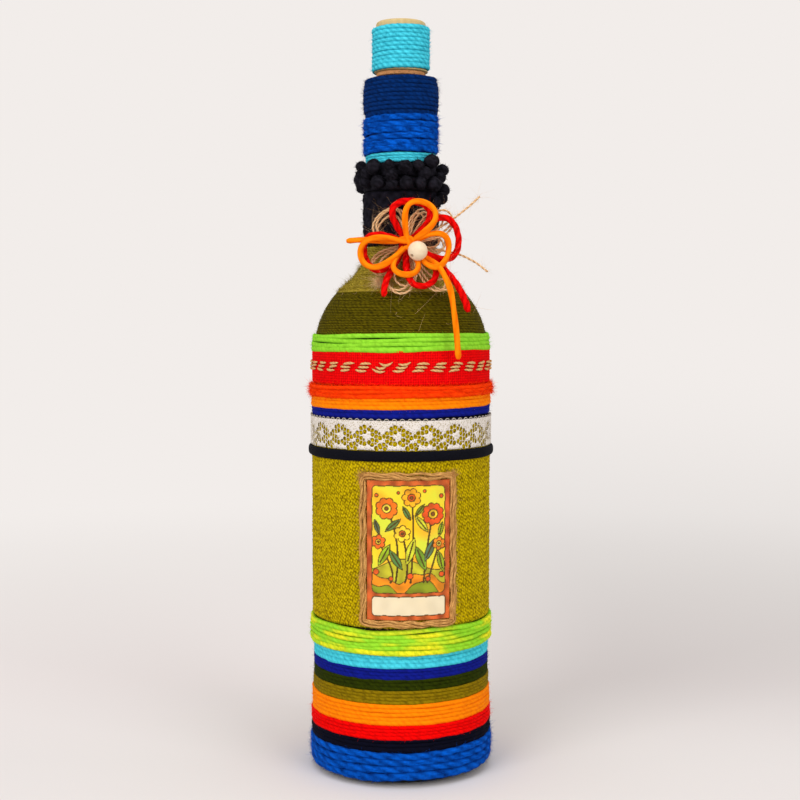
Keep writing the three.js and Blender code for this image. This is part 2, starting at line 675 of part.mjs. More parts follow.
function bead() {
  const opening = Math.asin(BEAD_HOLE_RADIUS / BEAD_RADIUS);
  const profile = [];
  const count = BEAD_FACETS / 2;
  for (let i = 0; i <= count; i++) {
    const angle = THREE.MathUtils.lerp(-Math.PI / 2 + opening, Math.PI / 2 - opening, i / count);
    profile.push([BEAD_RADIUS * Math.cos(angle), BEAD_RADIUS * Math.sin(angle)]);
  }
  profile.push(profile[0]);
  const front = orangeLayer + ORANGE_CORD_DIAMETER / 2 + BEAD_STAND + BEAD_RADIUS;
  const centre = bowPoint(BEAD_RIGHT, BEAD_UP, front);
  const geometry = turned(profile, BEAD_FACETS).rotateY(Math.PI / 2 - BEAD_TURN);
  addPiece("bead", geometry.translate(centre.x, centre.y, centre.z), 0xefe6d6, BEAD_ROUGHNESS);
}

// Stopper: shank in the mouth with its collar over the lip, head on the shank, yarn round the head.
const collarBottom = GLASS_HEIGHT + GAP;
const collarTop = collarBottom + SHANK_COLLAR_HEIGHT;
const headBottom = collarTop + GAP;
const headTop = headBottom + HEAD_HEIGHT;

function stopper() {
  const radius = MOUTH_RADIUS - SHANK_CLEARANCE;
  const bottom = GLASS_HEIGHT - SHANK_INSERT;
  const shank = [
    [0, bottom],
    [radius - SHANK_CHAMFER, bottom],
    [radius, bottom + SHANK_CHAMFER],
    [radius, collarBottom],
    [SHANK_COLLAR_RADIUS, collarBottom + SHANK_FLARE_HEIGHT],
    [SHANK_COLLAR_RADIUS, collarTop],
    [0, collarTop],
  ];
  addPiece("stopper_shank", turned(shank), 0x9b6133);
  const head = [
    [0, headBottom],
    [HEAD_RIM_RADIUS, headBottom],
    [HEAD_RIM_RADIUS, headBottom + HEAD_RIM_HEIGHT],
    [HEAD_RADIUS, headBottom + HEAD_RIM_HEIGHT],
    [HEAD_RADIUS, headTop - HEAD_CHAMFER],
    [HEAD_RADIUS - HEAD_CHAMFER, headTop],
    [0, headTop],
  ];
  addPiece("stopper_head", turned(head), 0xe3ca94, WOOD_ROUGHNESS);
  const onHead = (along, off) => [HEAD_RADIUS + off, headBottom + HEAD_RIM_HEIGHT + GAP + along];
  windAll(planWinding([STOPPER_YARN]), onHead, 0, NECK_STEPS);
}

glassBottle();
windAll(footPlan, offGlass, FOOT_EDGE, BODY_STEPS);
windAll(waistPlan, offGlass, waistEdge, BODY_STEPS);
windAll(shoulderPlan, offGlass, shoulderEdge, BODY_STEPS);
windAll(neckPlan, offGlass, neckEdge, NECK_STEPS);
bands();
stitchThread();
pompomTrim("pompom_trim_upper", upperTapeEdge, 0);
pompomTrim("pompom_trim_lower", lowerTapeEdge, LOWER_ROW_PHASE);
pictureCard();
twineFrame();
bowCord("bow_twine", TWINE_LOOPS, TWINE_TAILS, twineLayer, TWINE_DIAMETER, TWINE_SIDES, 0xa5734b);
bowCord("bow_red_cord", RED_LOOPS, RED_TAILS, redLayer, RED_CORD_DIAMETER, CORD_SIDES, 0xc8140f);
bowCord(
  "bow_orange_cord",
  ORANGE_LOOPS,
  ORANGE_TAILS,
  orangeLayer,
  ORANGE_CORD_DIAMETER,
  CORD_SIDES,
  0xf06a10,
);
bead();
stopper();

export default group;
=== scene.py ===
# %% [markdown]
# A wine bottle dressed in yarn
#
# The object is a glass bottle that somebody wound with yarn, ribbons, lace and burlap, with a card on the
# front, a bow on the neck and a stopper that pulls out. The CAD model holds the real sizes, so this lesson
# loads it first and builds the looks around it: each piece below stands for one or more CAD solids.

# %% Load the frame
import math

import bpy
import numpy as np
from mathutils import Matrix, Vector
from mathutils.geometry import delaunay_2d_cdt


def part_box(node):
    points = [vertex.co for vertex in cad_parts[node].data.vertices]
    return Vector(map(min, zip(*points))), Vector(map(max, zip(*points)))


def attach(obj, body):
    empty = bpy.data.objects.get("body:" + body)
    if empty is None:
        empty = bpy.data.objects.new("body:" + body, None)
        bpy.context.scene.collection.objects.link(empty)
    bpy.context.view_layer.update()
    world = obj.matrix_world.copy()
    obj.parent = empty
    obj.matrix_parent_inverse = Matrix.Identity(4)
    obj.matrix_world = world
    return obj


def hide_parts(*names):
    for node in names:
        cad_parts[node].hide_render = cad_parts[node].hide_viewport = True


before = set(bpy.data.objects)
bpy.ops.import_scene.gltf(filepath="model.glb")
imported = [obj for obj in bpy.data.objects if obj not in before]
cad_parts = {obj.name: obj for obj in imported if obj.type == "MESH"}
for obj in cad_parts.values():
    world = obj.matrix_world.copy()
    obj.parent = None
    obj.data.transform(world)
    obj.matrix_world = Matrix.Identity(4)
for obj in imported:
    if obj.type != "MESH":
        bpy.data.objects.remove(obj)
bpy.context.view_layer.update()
MM = 0.001
bpy.ops.object.select_all(action="DESELECT")
print("CAD nodes:", len(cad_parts))

# %% [markdown]
# The camera
#
# The camera could be placed by eye, but a fit is better: with the bottle's known height, the rows where its
# bands sit in the picture give the distance, the height and the tilt. The camera stands 635 mm in front of
# the bottle's axis and looks down a little.

# %% Camera
camera_data = bpy.data.cameras.new("camera")
camera_data.sensor_width = 36
camera_data.lens = 64.82
camera = bpy.data.objects.new("camera", camera_data)
bpy.context.scene.collection.objects.link(camera)
camera.location = (-0.0004, -0.6346, 0.2007)
camera.rotation_euler = (math.radians(90 - 3.533), 0, 0)
bpy.context.scene.camera = camera
bpy.context.scene.view_settings.view_transform = "Standard"
print("camera at", tuple(round(x, 4) for x in camera.location))

# %% [markdown]
# Colours and the shade of fibres
#
# Yarn, thread and cloth share one look: painted shade makes the grooves between the strands darker than their
# tops, and fine streaks of fibre run along. Each mesh carries a value called crest, 1 on top of a strand
# and 0 in a groove, and one node group turns it into colour, roughness and bump height for every material.
# A second value, outer, is 1 on the outer side of a wound strand and 0 on its flanks, which are painted
# darker as the shade of the next turns.

# %% A node group for fibres
def colour(red, green, blue):
    """A colour as it looks on screen, 0 to 255, as the linear values that nodes want."""
    shares = [channel / 255 for channel in (red, green, blue)]
    linear = [s / 12.92 if s <= 0.04045 else ((s + 0.055) / 1.055) ** 2.4 for s in shares]
    return (*linear, 1.0)


def start_group(name, inputs, outputs):
    tree = bpy.data.node_groups.new(name, "ShaderNodeTree")
    for label, kind in inputs:
        tree.interface.new_socket(name=label, in_out="INPUT", socket_type="NodeSocket" + kind)
    for label, kind in outputs:
        tree.interface.new_socket(name=label, in_out="OUTPUT", socket_type="NodeSocket" + kind)
    return tree, tree.nodes.new("NodeGroupInput"), tree.nodes.new("NodeGroupOutput")


def math_node(tree, operation, first, second, clamp=False):
    """A Math node whose two inputs are sockets or plain numbers."""
    node = tree.nodes.new("ShaderNodeMath")
    node.operation = operation
    node.use_clamp = clamp
    for socket, value in zip(node.inputs, (first, second)):
        if isinstance(value, (int, float)):
            socket.default_value = value
        else:
            tree.links.new(value, socket)
    return node.outputs[0]


def mix_node(tree, factor, first, second):
    """A colour Mix node: first at factor 0, second at factor 1. Each may be a socket or a colour."""
    node = tree.nodes.new("ShaderNodeMix")
    node.data_type = "RGBA"
    for index, value in ((0, factor), (6, first), (7, second)):
        if isinstance(value, (int, float, tuple)):
            node.inputs[index].default_value = value
        else:
            tree.links.new(value, node.inputs[index])
    return node.outputs[2]


def noise_node(tree, vector, scale, detail=3.0, roughness=0.6):
    node = tree.nodes.new("ShaderNodeTexNoise")
    node.inputs["Scale"].default_value = scale
    node.inputs["Detail"].default_value = detail
    node.inputs["Roughness"].default_value = roughness
    tree.links.new(vector, node.inputs["Vector"])
    return node.outputs["Fac"]


def fade(tree, value, start, stop):
    """A smooth step of a value, from 0 at start to 1 at stop."""
    node = tree.nodes.new("ShaderNodeMapRange")
    node.interpolation_type = "SMOOTHSTEP"
    node.inputs["From Min"].default_value = start
    node.inputs["From Max"].default_value = stop
    tree.links.new(value, node.inputs["Value"])
    return node.outputs["Result"]


fibre_group, fibre_in, fibre_out = start_group(
    "fibre_shade",
    [("Crest Colour", "Color"), ("Groove Colour", "Color"), ("Crest", "Float"), ("Vector", "Vector"),
     ("Streaks", "Float")],
    [("Colour", "Color"), ("Roughness", "Float"), ("Height", "Float")],
)
streak = noise_node(fibre_group, fibre_in.outputs["Vector"], 1.0)
centred = math_node(fibre_group, "SUBTRACT", streak, 0.5)
weighted = math_node(fibre_group, "MULTIPLY", centred, fibre_in.outputs["Streaks"])
# The crest level mixes groove and crest colours: painted shade in the grooves, broken up by the streaks.
level = math_node(fibre_group, "ADD", weighted, fibre_in.outputs["Crest"], clamp=True)
shaded = mix_node(fibre_group, level, fibre_in.outputs["Groove Colour"], fibre_in.outputs["Crest Colour"])
fibre_group.links.new(shaded, fibre_out.inputs["Colour"])
ROUGHNESS, ROUGHNESS_SPREAD = 0.82, 0.3
rough = math_node(fibre_group, "MULTIPLY", centred, ROUGHNESS_SPREAD)
fibre_group.links.new(math_node(fibre_group, "ADD", rough, ROUGHNESS), fibre_out.inputs["Roughness"])
fibre_group.links.new(streak, fibre_out.inputs["Height"])
print("node group", fibre_group.name, "with", len(fibre_group.nodes), "nodes")

# %% [markdown]
# Materials of yarn, thread and cloth
#
# One function makes them all. It reads the crest value and the piece's own UV map, in millimetres along the
# strand and in turns round it, so the streaks follow the yarn wherever it goes. A yarn that changes colour
# along its length gets its second colour from a slow noise on the same UV map.

# %% A function for fibre materials
def uv_vector(tree, scale, turn=0.0):
    uv_map = tree.nodes.new("ShaderNodeUVMap")
    uv_map.uv_map = "UVMap"
    mapping = tree.nodes.new("ShaderNodeMapping")
    mapping.inputs["Scale"].default_value = scale
    mapping.inputs["Rotation"].default_value[2] = turn
    tree.links.new(uv_map.outputs["UV"], mapping.inputs["Vector"])
    return mapping.outputs["Vector"]


def add_bump(tree, shader, height, strength, distance):
    bump = tree.nodes.new("ShaderNodeBump")
    bump.inputs["Strength"].default_value = strength
    bump.inputs["Distance"].default_value = distance
    tree.links.new(height, bump.inputs["Height"])
    tree.links.new(bump.outputs["Normal"], shader.inputs["Normal"])


def fibre_finish(slot, crest, groove, streaks=1.5, stretch=(0.45, 2.2, 1), edge=0.6, second=None):
    """Crest and groove colours, the streaks' weight and size, and how much painted shade darkens the flanks.
    """
    material = bpy.data.materials.new(slot)
    material.use_nodes = True
    tree = material.node_tree
    shader = tree.nodes["Principled BSDF"]
    shader.inputs["Specular IOR Level"].default_value = 0.04
    shade = tree.nodes.new("ShaderNodeGroup")
    shade.node_tree = fibre_group
    shade.inputs["Crest Colour"].default_value = crest
    shade.inputs["Groove Colour"].default_value = groove
    shade.inputs["Streaks"].default_value = streaks
    if second:
        patch = noise_node(tree, uv_vector(tree, (0.03, 0.3, 1)), 1.0, 2.0)
        ramp = tree.nodes.new("ShaderNodeValToRGB")
        ramp.color_ramp.elements[0].position = 0.44
        ramp.color_ramp.elements[1].position = 0.6
        ramp.color_ramp.elements[0].color = crest
        ramp.color_ramp.elements[1].color = second
        tree.links.new(patch, ramp.inputs["Fac"])
        tree.links.new(ramp.outputs["Color"], shade.inputs["Crest Colour"])
    attribute = tree.nodes.new("ShaderNodeAttribute")
    attribute.attribute_name = "crest"
    tree.links.new(attribute.outputs["Fac"], shade.inputs["Crest"])
    tree.links.new(uv_vector(tree, stretch), shade.inputs["Vector"])
    tone = shade.outputs["Colour"]
    # Painted shade: where outer is low, on a strand's flanks, the colour is mixed towards the groove colour.
    if edge:
        outer = tree.nodes.new("ShaderNodeAttribute")
        outer.attribute_name = "outer"
        flank = math_node(tree, "SUBTRACT", 1.0, outer.outputs["Fac"])
        tone = mix_node(tree, math_node(tree, "MULTIPLY", flank, edge), tone, groove)
    tree.links.new(tone, shader.inputs["Base Color"])
    tree.links.new(shade.outputs["Roughness"], shader.inputs["Roughness"])
    add_bump(tree, shader, shade.outputs["Height"], 0.5, 0.0004)
    return material


FINISHES = {}


def shades(slot, crest, groove, *streaks, **more):
    FINISHES[slot] = fibre_finish(slot, colour(*crest), colour(*groove), *streaks, **more)


COARSE, FINE, WOVEN = (0.18, 1.3, 1), (0.5, 1.2, 1), (1.0, 1.4, 1)
shades("royal_yarn", (4, 98, 216), (0, 26, 88), 2.2, COARSE, 1.0)
shades("navy_yarn", (10, 11, 28), (3, 3, 9))
shades("neck_navy", (4, 47, 112), (0, 14, 44), 1.9, edge=0.8)
shades("red_yarn", (252, 4, 3), (170, 0, 0))
shades("orange_yarn", (255, 141, 4), (232, 102, 0))
shades("olive_yarn", (144, 119, 6), (76, 60, 0), 2.0)
shades("green_yarn", (44, 55, 2), (15, 20, 0), 2.0)
shades("ultramarine_yarn", (17, 29, 139), (6, 9, 70))
shades("turquoise_yarn", (80, 219, 238), (6, 134, 160), 1.6, edge=0.95)
shades("variegated_yarn", (156, 226, 52), (118, 172, 16), second=colour(254, 242, 44))
shades("flame_yarn", (255, 74, 4), (244, 36, 0), edge=0.2)
shades("lime_yarn", (150, 220, 54), (92, 160, 16))
shades("dark_thread", (108, 96, 7), (12, 10, 0), 1.8, FINE, 1.0)
shades("light_thread", (186, 164, 56), (84, 70, 10), 1.8, FINE, 0.7)
shades("red_ribbon", (255, 8, 10), (184, 0, 2), 0.9, WOVEN, 0.0)
shades("black_ribbon", (32, 30, 40), (7, 6, 10), 0.6, (1.5, 1.5, 1))
shades("black_pompom", (37, 35, 43), (8, 7, 11), 0.6, (1, 1, 1))
shades("lace", (233, 226, 219), (190, 181, 170), 0.8, (2.2, 2.2, 1), 0.0)
shades("stitch_thread", (242, 192, 130), (124, 76, 34), 0.9)
shades("jute_twine", (216, 164, 96), (134, 88, 40), 1.8, edge=0.0)
shades("bow_jute", (240, 202, 152), (178, 128, 80), 1.0, edge=0.0)
shades("red_cord", (237, 10, 7), (170, 0, 0), 1.4, edge=0.0)
shades("orange_cord", (254, 138, 10), (236, 106, 0), 1.0, edge=0.0)
print("fibre materials:", len(FINISHES))

# %% [markdown]
# From rings of points to meshes
#
# A wound yarn could be a curve with a bevel, but a curve has a round section. Here the section is lofted: a
# ring of points stands at every step of a line, shaped like plied strands, and turns as it goes along, which
# gives the twist of the plies.

# %% Lofts
def unit(vectors):
    return vectors / np.maximum(np.linalg.norm(vectors, axis=-1, keepdims=True), 1e-9)


def distance_along(line):
    steps = np.linalg.norm(np.diff(line, axis=0), axis=1)
    return np.concatenate([[0.0], np.cumsum(steps)])


def loft(line, across, outward, half_width, half_height, sides, plies, twist, softness=0.74, pressed=0.0):
    """A tube of plied strands, in mm. Softness 1 is a plain round tube, 0.5 has the deepest grooves. Turns
    pressed together have a squarer section, and their crest follows the outer side more than the plies."""
    run = distance_along(line)
    count = len(line)
    angle = np.arange(sides) * 2 * np.pi / sides
    lobe = 2 * np.pi / plies
    inside = np.mod(angle[None, :] - 2 * np.pi * run[:, None] / twist, lobe) - lobe / 2
    core = 1 - softness
    reach = core * np.cos(inside) + np.sqrt(softness**2 - (core * np.sin(inside)) ** 2)
    power = 1 - 0.4 * pressed
    sideways = np.sign(np.cos(angle)) * np.abs(np.cos(angle)) ** power
    upward = np.sign(np.sin(angle)) * np.abs(np.sin(angle)) ** power
    wide = (half_width[:, None] * reach * sideways)[..., None] * across[:, None]
    high = (half_height[:, None] * reach * upward)[..., None] * outward[:, None]
    rings = (line[:, None] + wide + high).reshape(-1, 3)
    # Crest and outer carry painted shade: dark in the grooves between plies and on the flanks of a turn.
    ply = (reach - reach.min()) / max(reach.max() - reach.min(), 1e-6)
    crest = ((1 - pressed) * ply + pressed * np.clip(0.45 + 0.6 * np.sin(angle), 0, 0.9)).ravel()
    outer = np.tile(np.clip(np.sin(angle), 0, 1), count)
    first = (np.arange(count - 1) * sides)[:, None]
    here = np.arange(sides)[None, :]
    after = (here + 1) % sides
    quads = np.stack([first + here, first + after, first + sides + after, first + sides + here], -1)
    low, high = run[:-1, None] + 0 * here, run[1:, None] + 0 * here
    left, right = here / sides + 0 * first, (here + 1) / sides + 0 * first
    quad_uv = np.stack([np.stack((u, v - u / twist), -1)
                        for u, v in ((low, left), (low, right), (high, right), (high, left))], 2)
    start_pole, end_pole = count * sides, count * sides + 1
    last = (count - 1) * sides
    ring = np.arange(sides)
    start_fan = np.stack([ring * 0 + start_pole, np.roll(ring, -1), ring], -1)
    end_fan = np.stack([ring * 0 + end_pole, last + ring, last + np.roll(ring, -1)], -1)
    tris = np.concatenate([start_fan, end_fan])
    return {
        "points": np.concatenate([rings, line[:1], line[-1:]]),
        "crest": np.concatenate([crest, [0.3, 0.3]]),
        "outer": np.concatenate([outer, [0.5, 0.5]]),
        "quads": quads.reshape(-1, 4),
        "quad_uv": quad_uv.reshape(-1, 4, 2),
        "tris": tris,
        "tri_uv": np.zeros((len(tris), 3, 2)),
    }


print("loft is ready")

# %% [markdown]
# Stray fibres start inside the yarn. Hair curves would be lighter, but they don't leave the program as a
# mesh, so each fibre is a thin taper of a few faces. All the fibres of a part are worked out together.

# %% Fibres
def fibres(roots, headings, curls, lengths, radius, crest=0.8, rings=2):
    """Stray hairs, in mm: each is a three-sided taper, closed at both ends, that bends towards its curl."""
    heading = unit(headings)
    side = unit(np.cross(heading, curls + np.array([0.011, 0.017, 0.013])))
    up = np.cross(heading, side)
    shares = np.arange(rings) * 0.9 / rings
    widths = radius * (1 - 0.6 * shares)
    length = lengths[:, None, None]
    bend = shares[:, None] * heading[:, None] + shares[:, None] ** 2 * curls[:, None]
    line = roots[:, None] + length * bend
    turn = np.arange(3) * 2 * np.pi / 3
    ring = np.cos(turn)[:, None] * side[:, None] + np.sin(turn)[:, None] * up[:, None]
    round_points = (line[:, :, None] + widths[None, :, None, None] * ring[:, None]).reshape(-1, 3 * rings, 3)
    tips = roots + lengths[:, None] * (heading + curls)
    points = np.concatenate([round_points, tips[:, None]], 1).reshape(-1, 3)
    quad = np.array([[3 * j + k, 3 * j + (k + 1) % 3, 3 * j + 3 + (k + 1) % 3, 3 * j + 3 + k]
                     for j in range(rings - 1) for k in range(3)])
    last, tip = 3 * rings - 3, 3 * rings
    tri = np.array([[last, last + 1, tip], [last + 1, last + 2, tip], [last + 2, last, tip], [2, 1, 0]])
    base = (np.arange(len(roots)) * (tip + 1))[:, None, None]
    quads, tris = (base + quad).reshape(-1, 4), (base + tri).reshape(-1, 3)
    return {
        "points": points,
        "crest": np.repeat(np.broadcast_to(crest, len(roots)), tip + 1),
        "quads": quads,
        "quad_uv": np.zeros((len(quads), 4, 2)),
        "tris": tris,
        "tri_uv": np.zeros((len(tris), 3, 2)),
    }


print("fibres are ready")

# %% [markdown]
# A piece is one mesh from several such parts, with its UV map and its crest and outer values. A mesh could be
# filled face by face, but it is much quicker to hand over whole arrays. A finished piece then rides on its
# body and stands for its CAD solids.

# %% Pieces
# Parts that aren't lofts get this outer value all over, so the painted flank shade darkens them a little.
EVEN_OUTER = 0.78


def make_piece(name, parts, finish):
    """One object from lofts, bands and fibres. Their points are in mm and Blender's are in metres. Only a
    loft knows its outer side, and the rest has one value all over."""
    starts = np.cumsum([0] + [len(part["points"]) for part in parts[:-1]])
    points = np.concatenate([part["points"] for part in parts]) * MM
    quads = np.concatenate([part["quads"] + start for part, start in zip(parts, starts)])
    tris = np.concatenate([part["tris"] + start for part, start in zip(parts, starts)])
    corners = np.concatenate([quads.ravel(), tris.ravel()]).astype(np.int32)
    sizes = np.concatenate([np.full(len(quads), 4), np.full(len(tris), 3)])
    mesh = bpy.data.meshes.new(name)
    mesh.vertices.add(len(points))
    mesh.vertices.foreach_set("co", points.astype(np.float32).ravel())
    mesh.loops.add(len(corners))
    mesh.loops.foreach_set("vertex_index", corners)
    mesh.polygons.add(len(sizes))
    mesh.polygons.foreach_set("loop_start", (np.cumsum(sizes) - sizes).astype(np.int32))
    mesh.update(calc_edges=True)
    uv = np.concatenate([part["quad_uv"].reshape(-1, 2) for part in parts]
                        + [part["tri_uv"].reshape(-1, 2) for part in parts])
    mesh.uv_layers.new(name="UVMap").data.foreach_set("uv", uv.astype(np.float32).ravel())
    crest = np.concatenate([part["crest"] for part in parts]).astype(np.float32)
    mesh.attributes.new("crest", "FLOAT", "POINT").data.foreach_set("value", crest)
    outer = np.concatenate([part.get("outer", np.full(len(part["points"]), EVEN_OUTER)) for part in parts])
    mesh.attributes.new("outer", "FLOAT", "POINT").data.foreach_set("value", outer.astype(np.float32))
    mesh.shade_smooth()
    mesh.materials.append(finish)
    piece = bpy.data.objects.new(name, mesh)
    bpy.context.scene.collection.objects.link(piece)
    return piece


def settle(piece, body, slot, *nodes):
    """A finished piece rides on its body and stands for its CAD nodes. The slot is not used."""
    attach(piece, body)
    if nodes:
        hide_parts(*nodes)
    return piece


print("pieces can be made")

# %% [markdown]
# The bow's cords
#
# The bow is a flower of three cords in layers: hairy jute twine against the neck, a plied red cord on it and
# a felted orange cord in front. Cloth or hair simulation could drop them, but their loops are known from the
# CAD, so each cord follows that route: out of the knot, through its loops, and off along a free tail.

# %% Routes of the cords
BOW_X, BOW_FRONT, BOW_HEIGHT = 3.0, 17.0, 229.31
KNOT_START, LEAN, LEAN_FROM, STRAND_SPREAD, END_LEAN = 2.2, 0.9, 5.0, 0.6, 1.3
TWINE_LAYER, RED_LAYER, ORANGE_LAYER = 0.9, 4.5, 8.9
TWINE_LOOPS = [(135, 17.3, 13), (62, 16.4, 6), (35, 22.1, 8), (2, 16, 6), (220, 18.9, 7), (259, 21.6, 10),
               (312, 25.6, 8)]
RED_LOOPS = [(84, 18, 14), (8, 21.6, 15.4), (197, 19.2, 13), (295, 19.6, 9.5)]
ORANGE_LOOPS = [(66, 18.4, 10.8), (345, 17.4, 12.4), (197, 20.8, 10), (264, 13.6, 8.6)]
TWINE_TAILS = [
    [(1.6, 0.8, 0.9), (8, 4, 1), (17, 9, 1.4), (25, 15, 1.6), (30.5, 20, 1.6)],
    [(1.8, -0.4, 0.9), (9, -2, 1), (20, -4, 1.5), (28, -7.5, 2), (34, -12, 2.4)],
]
RED_TAILS = [
    [(-1, -1.5, 4.5), (-4, -6, 5.4), (-7, -11.7, 10.3), (-9.4, -16.5, 14.5), (-10.2, -22.5, 18)],
    [(1.5, -1.1, 4.5), (8, -6, 5.4), (15, -11, 9.9), (20, -17, 14.8), (23.5, -24, 17.5), (25, -29, 18.5)],
]
ORANGE_TAILS = [
    [(-1.8, 0.2, 8.9), (-6, 0.6, 8.9), (-13, 1, 8.8), (-20, 1.3, 8.5), (-26, 0.8, 8.2)],
    [(1.4, -1.2, 8.9), (7, -6, 9.8), (12.3, -9.5, 13.4), (15.6, -15, 17.8), (17.5, -20, 20.3),
     (18.8, -28, 21.5), (20, -38, 21.8), (20.8, -48.5, 21)],
]


def bow_point(right, up, front):
    return (BOW_X + right, -(BOW_FRONT + front), BOW_HEIGHT + up)


def loop_points(angle, length, width, layer, diameter, arch, count=12):
    """A loop leaves the knot and comes back to it, with its two strands side by side. It arches forward on
    the way and its end leans back to what is behind it."""
    direction = math.radians(angle)
    points = []
    for i in range(count + 1):
        t = i / count
        out = KNOT_START + (length - KNOT_START) * math.sin(math.pi * t)
        across = width / 2 * math.sin(2 * math.pi * t) + STRAND_SPREAD * diameter * math.cos(math.pi * t)
        right = out * math.cos(direction) + across * math.sin(direction)
        up = out * math.sin(direction) - across * math.cos(direction)
        reach = math.sin(math.pi * t)
        front = layer + arch * math.sin(0.9 * math.pi * reach) - END_LEAN * reach**2
        points.append(bow_point(right, up, front + LEAN * max(0, -up - LEAN_FROM)))
    return points


def smooth_line(points, step):
    """A line through points (Catmull-Rom), with its own points an equal step apart."""
    p = np.array(points, float)
    p = np.concatenate([2 * p[:1] - p[1:2], p, 2 * p[-1:] - p[-2:-1]])
    t = np.linspace(0, 1, 24, endpoint=False)[None, :, None]
    a, b, c, d = (p[i:len(p) - 3 + i][:, None] for i in range(4))
    curve = 0.5 * (2 * b + (c - a) * t + (2 * a - 5 * b + 4 * c - d) * t**2 + (3 * b - a - 3 * c + d) * t**3)
    curve = np.concatenate([curve.reshape(-1, 3), p[-2:-1]])
    run = distance_along(curve)
    even = np.linspace(0, run[-1], max(int(run[-1] / step), 2) + 1)
    return np.stack([np.interp(even, run, curve[:, axis]) for axis in range(3)], -1)


def relaxed(line, rounds=10):
    """Rounds off the kinks where a cord turns back inside the knot, with its two ends kept."""
    for _ in range(rounds):
        line[1:-1] = 0.25 * line[:-2] + 0.5 * line[1:-1] + 0.25 * line[2:]
    return line


def knot_turn(first, layer, radius=2.3, count=8):
    """The turn round the knot with which a second tail starts, ending towards its first point."""
    away = math.atan2(first[1], first[0])
    angles = np.linspace(away - 1.7 * math.pi, away - 0.25 * math.pi, count)
    return [bow_point(radius * math.cos(a), radius * math.sin(a), layer) for a in angles]


def cord_frame(line):
    """Directions across and out of a cord that mostly lies facing the front."""
    tangent = unit(np.gradient(line, axis=0))
    across = unit(np.cross(np.array([0.0, -1.0, 0.0]), tangent))
    return across, np.cross(tangent, across)


print("bow loops:", len(TWINE_LOOPS) + len(RED_LOOPS) + len(ORANGE_LOOPS))

# %% [markdown]
# Each cord is a lofted tube with the plies of the real one: three strands in the red cord, two in the twine,
# and a nearly round felted tube in orange.

# %% Cord helpers
def seeded(seed):
    return np.random.default_rng(seed)


def wander(run, wavelength, amount, seed):
    """A slow, seeded drift along a line, for yarn laid by hand."""
    generator = seeded(seed)
    drift = np.zeros(len(run))
    for share in generator.uniform(0.5, 1.9, 5):
        drift += np.sin(2 * np.pi * run / (wavelength * share) + generator.uniform(0, 6.3))
    return amount * drift / 2.2


def hairs_on(line, across, outward, half, count, length, seed, outer=False, radius=0.05, rings=2,
             lean=(0.2, 2.0), bend=0.4):
    """Hairs rooted at random places on a tube, on its outer half only where it lies on something. Lean is how
    much they follow the tube, from hairs that stand off it to a nap that lies on it."""
    generator = seeded(seed)
    place = generator.integers(0, len(line), count)
    first, last = (0.1, np.pi - 0.1) if outer else (0, 2 * np.pi)
    angle = generator.uniform(first, last, count)
    radial = np.cos(angle)[:, None] * across[place] + np.sin(angle)[:, None] * outward[place]
    tangent = unit(np.gradient(line, axis=0))[place]
    follow = generator.choice([-1.0, 1.0], count)[:, None] * generator.uniform(*lean, (count, 1))
    stray = 0.3 * lean[0] * generator.normal(size=(count, 1)) * across[place]
    heading = unit(radial + follow * tangent + stray)
    curl = bend * generator.normal(size=(count, 3))
    roots = line[place] + 0.6 * half * radial
    lengths = length * generator.uniform(0.3, 1.2, count)
    crest = generator.uniform(0.45, 1.0, count)
    above_floor = (roots + lengths[:, None] * (heading + curl))[:, 2] > 0.3
    kept = (values[above_floor] for values in (roots, heading, curl, lengths))
    return fibres(*kept, radius, crest[above_floor], rings)


def bow_cord(name, slot, finish, points, diameter, plies, twist, softness, hairs, hair_length, node, seed):
    """A cord and its fuzz as two pieces, with its line and its diameter. Twist is the way along the cord in
    which its plies turn once."""
    line = relaxed(smooth_line(points, diameter * 0.22))
    across, outward = cord_frame(line)
    run = distance_along(line)
    half = diameter / 2 * (1 + wander(run, 9 * diameter, 0.04, seed))
    half[:3] *= (0.5, 0.75, 0.92)
    half[-3:] *= (0.92, 0.75, 0.5)
    strand = loft(line, across, outward, half, half, 10, plies, twist, softness)
    cord = settle(make_piece(name, [strand], FINISHES[finish]), "bottle", slot, *([node] if node else []))
    loose = hairs_on(line, across, outward, diameter / 2, hairs, hair_length, seed + 50,
                     radius=0.032, rings=4, bend=0.8)
    fuzz = settle(make_piece(name + "_fuzz", [loose], FINISHES[finish]), "bottle", slot)
    return cord, fuzz, line, diameter


def whole_run(loops, tail, layer, diameter, arches, grow=1.0, turn=0.0):
    """The route from the knot through all the loops of a cord and out along its tail."""
    points = []
    for number, (angle, length, width) in enumerate(loops):
        arch = arches[number % len(arches)]
        points += loop_points(angle + turn, length * grow, width * grow, layer, diameter, arch)
    return points + [bow_point(*place) for place in tail]


def second_tail(tail, layer):
    return knot_turn(tail[1], layer) + [bow_point(*place) for place in tail[1:]]


print("helpers for cords are ready")

# %% [markdown]
# The twine goes round in a full set of loops and in two smaller sets that are turned a little, which makes
# the bow as full as the real one. Red and orange have one set each. Every cord has two tails, one at the end
# of its loops and one that starts with a turn round the knot.

# %% Lay the cords
TWINE, RED, ORANGE = 1.0, 2.9, 2.6
TWINE_ARCH, RED_ARCH, ORANGE_ARCH = (1.2, 0.6, 1.5), (1.6, 0.7, 1.2, 1.4), (3.4, 2.2, 3.8, 1.9)


def twine_cord(name, points, hairs, hair_length, node, seed):
    twine = bow_cord(name, "jute_twine", "bow_jute", points, TWINE, 2, 4.6, 0.64, hairs, hair_length,
                     node, seed)


def red_cord(name, points, hairs, node, seed):
    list(bow_cord(name, "red_cord", "red_cord", points, RED, 3, 14, 0.78, hairs, 1.7, node, seed))


def orange_cord(name, points, hairs, node, seed):
    return bow_cord(name, "orange_cord", "orange_cord", points, ORANGE, 2, 30, 0.88, hairs, 1.1, node, seed)


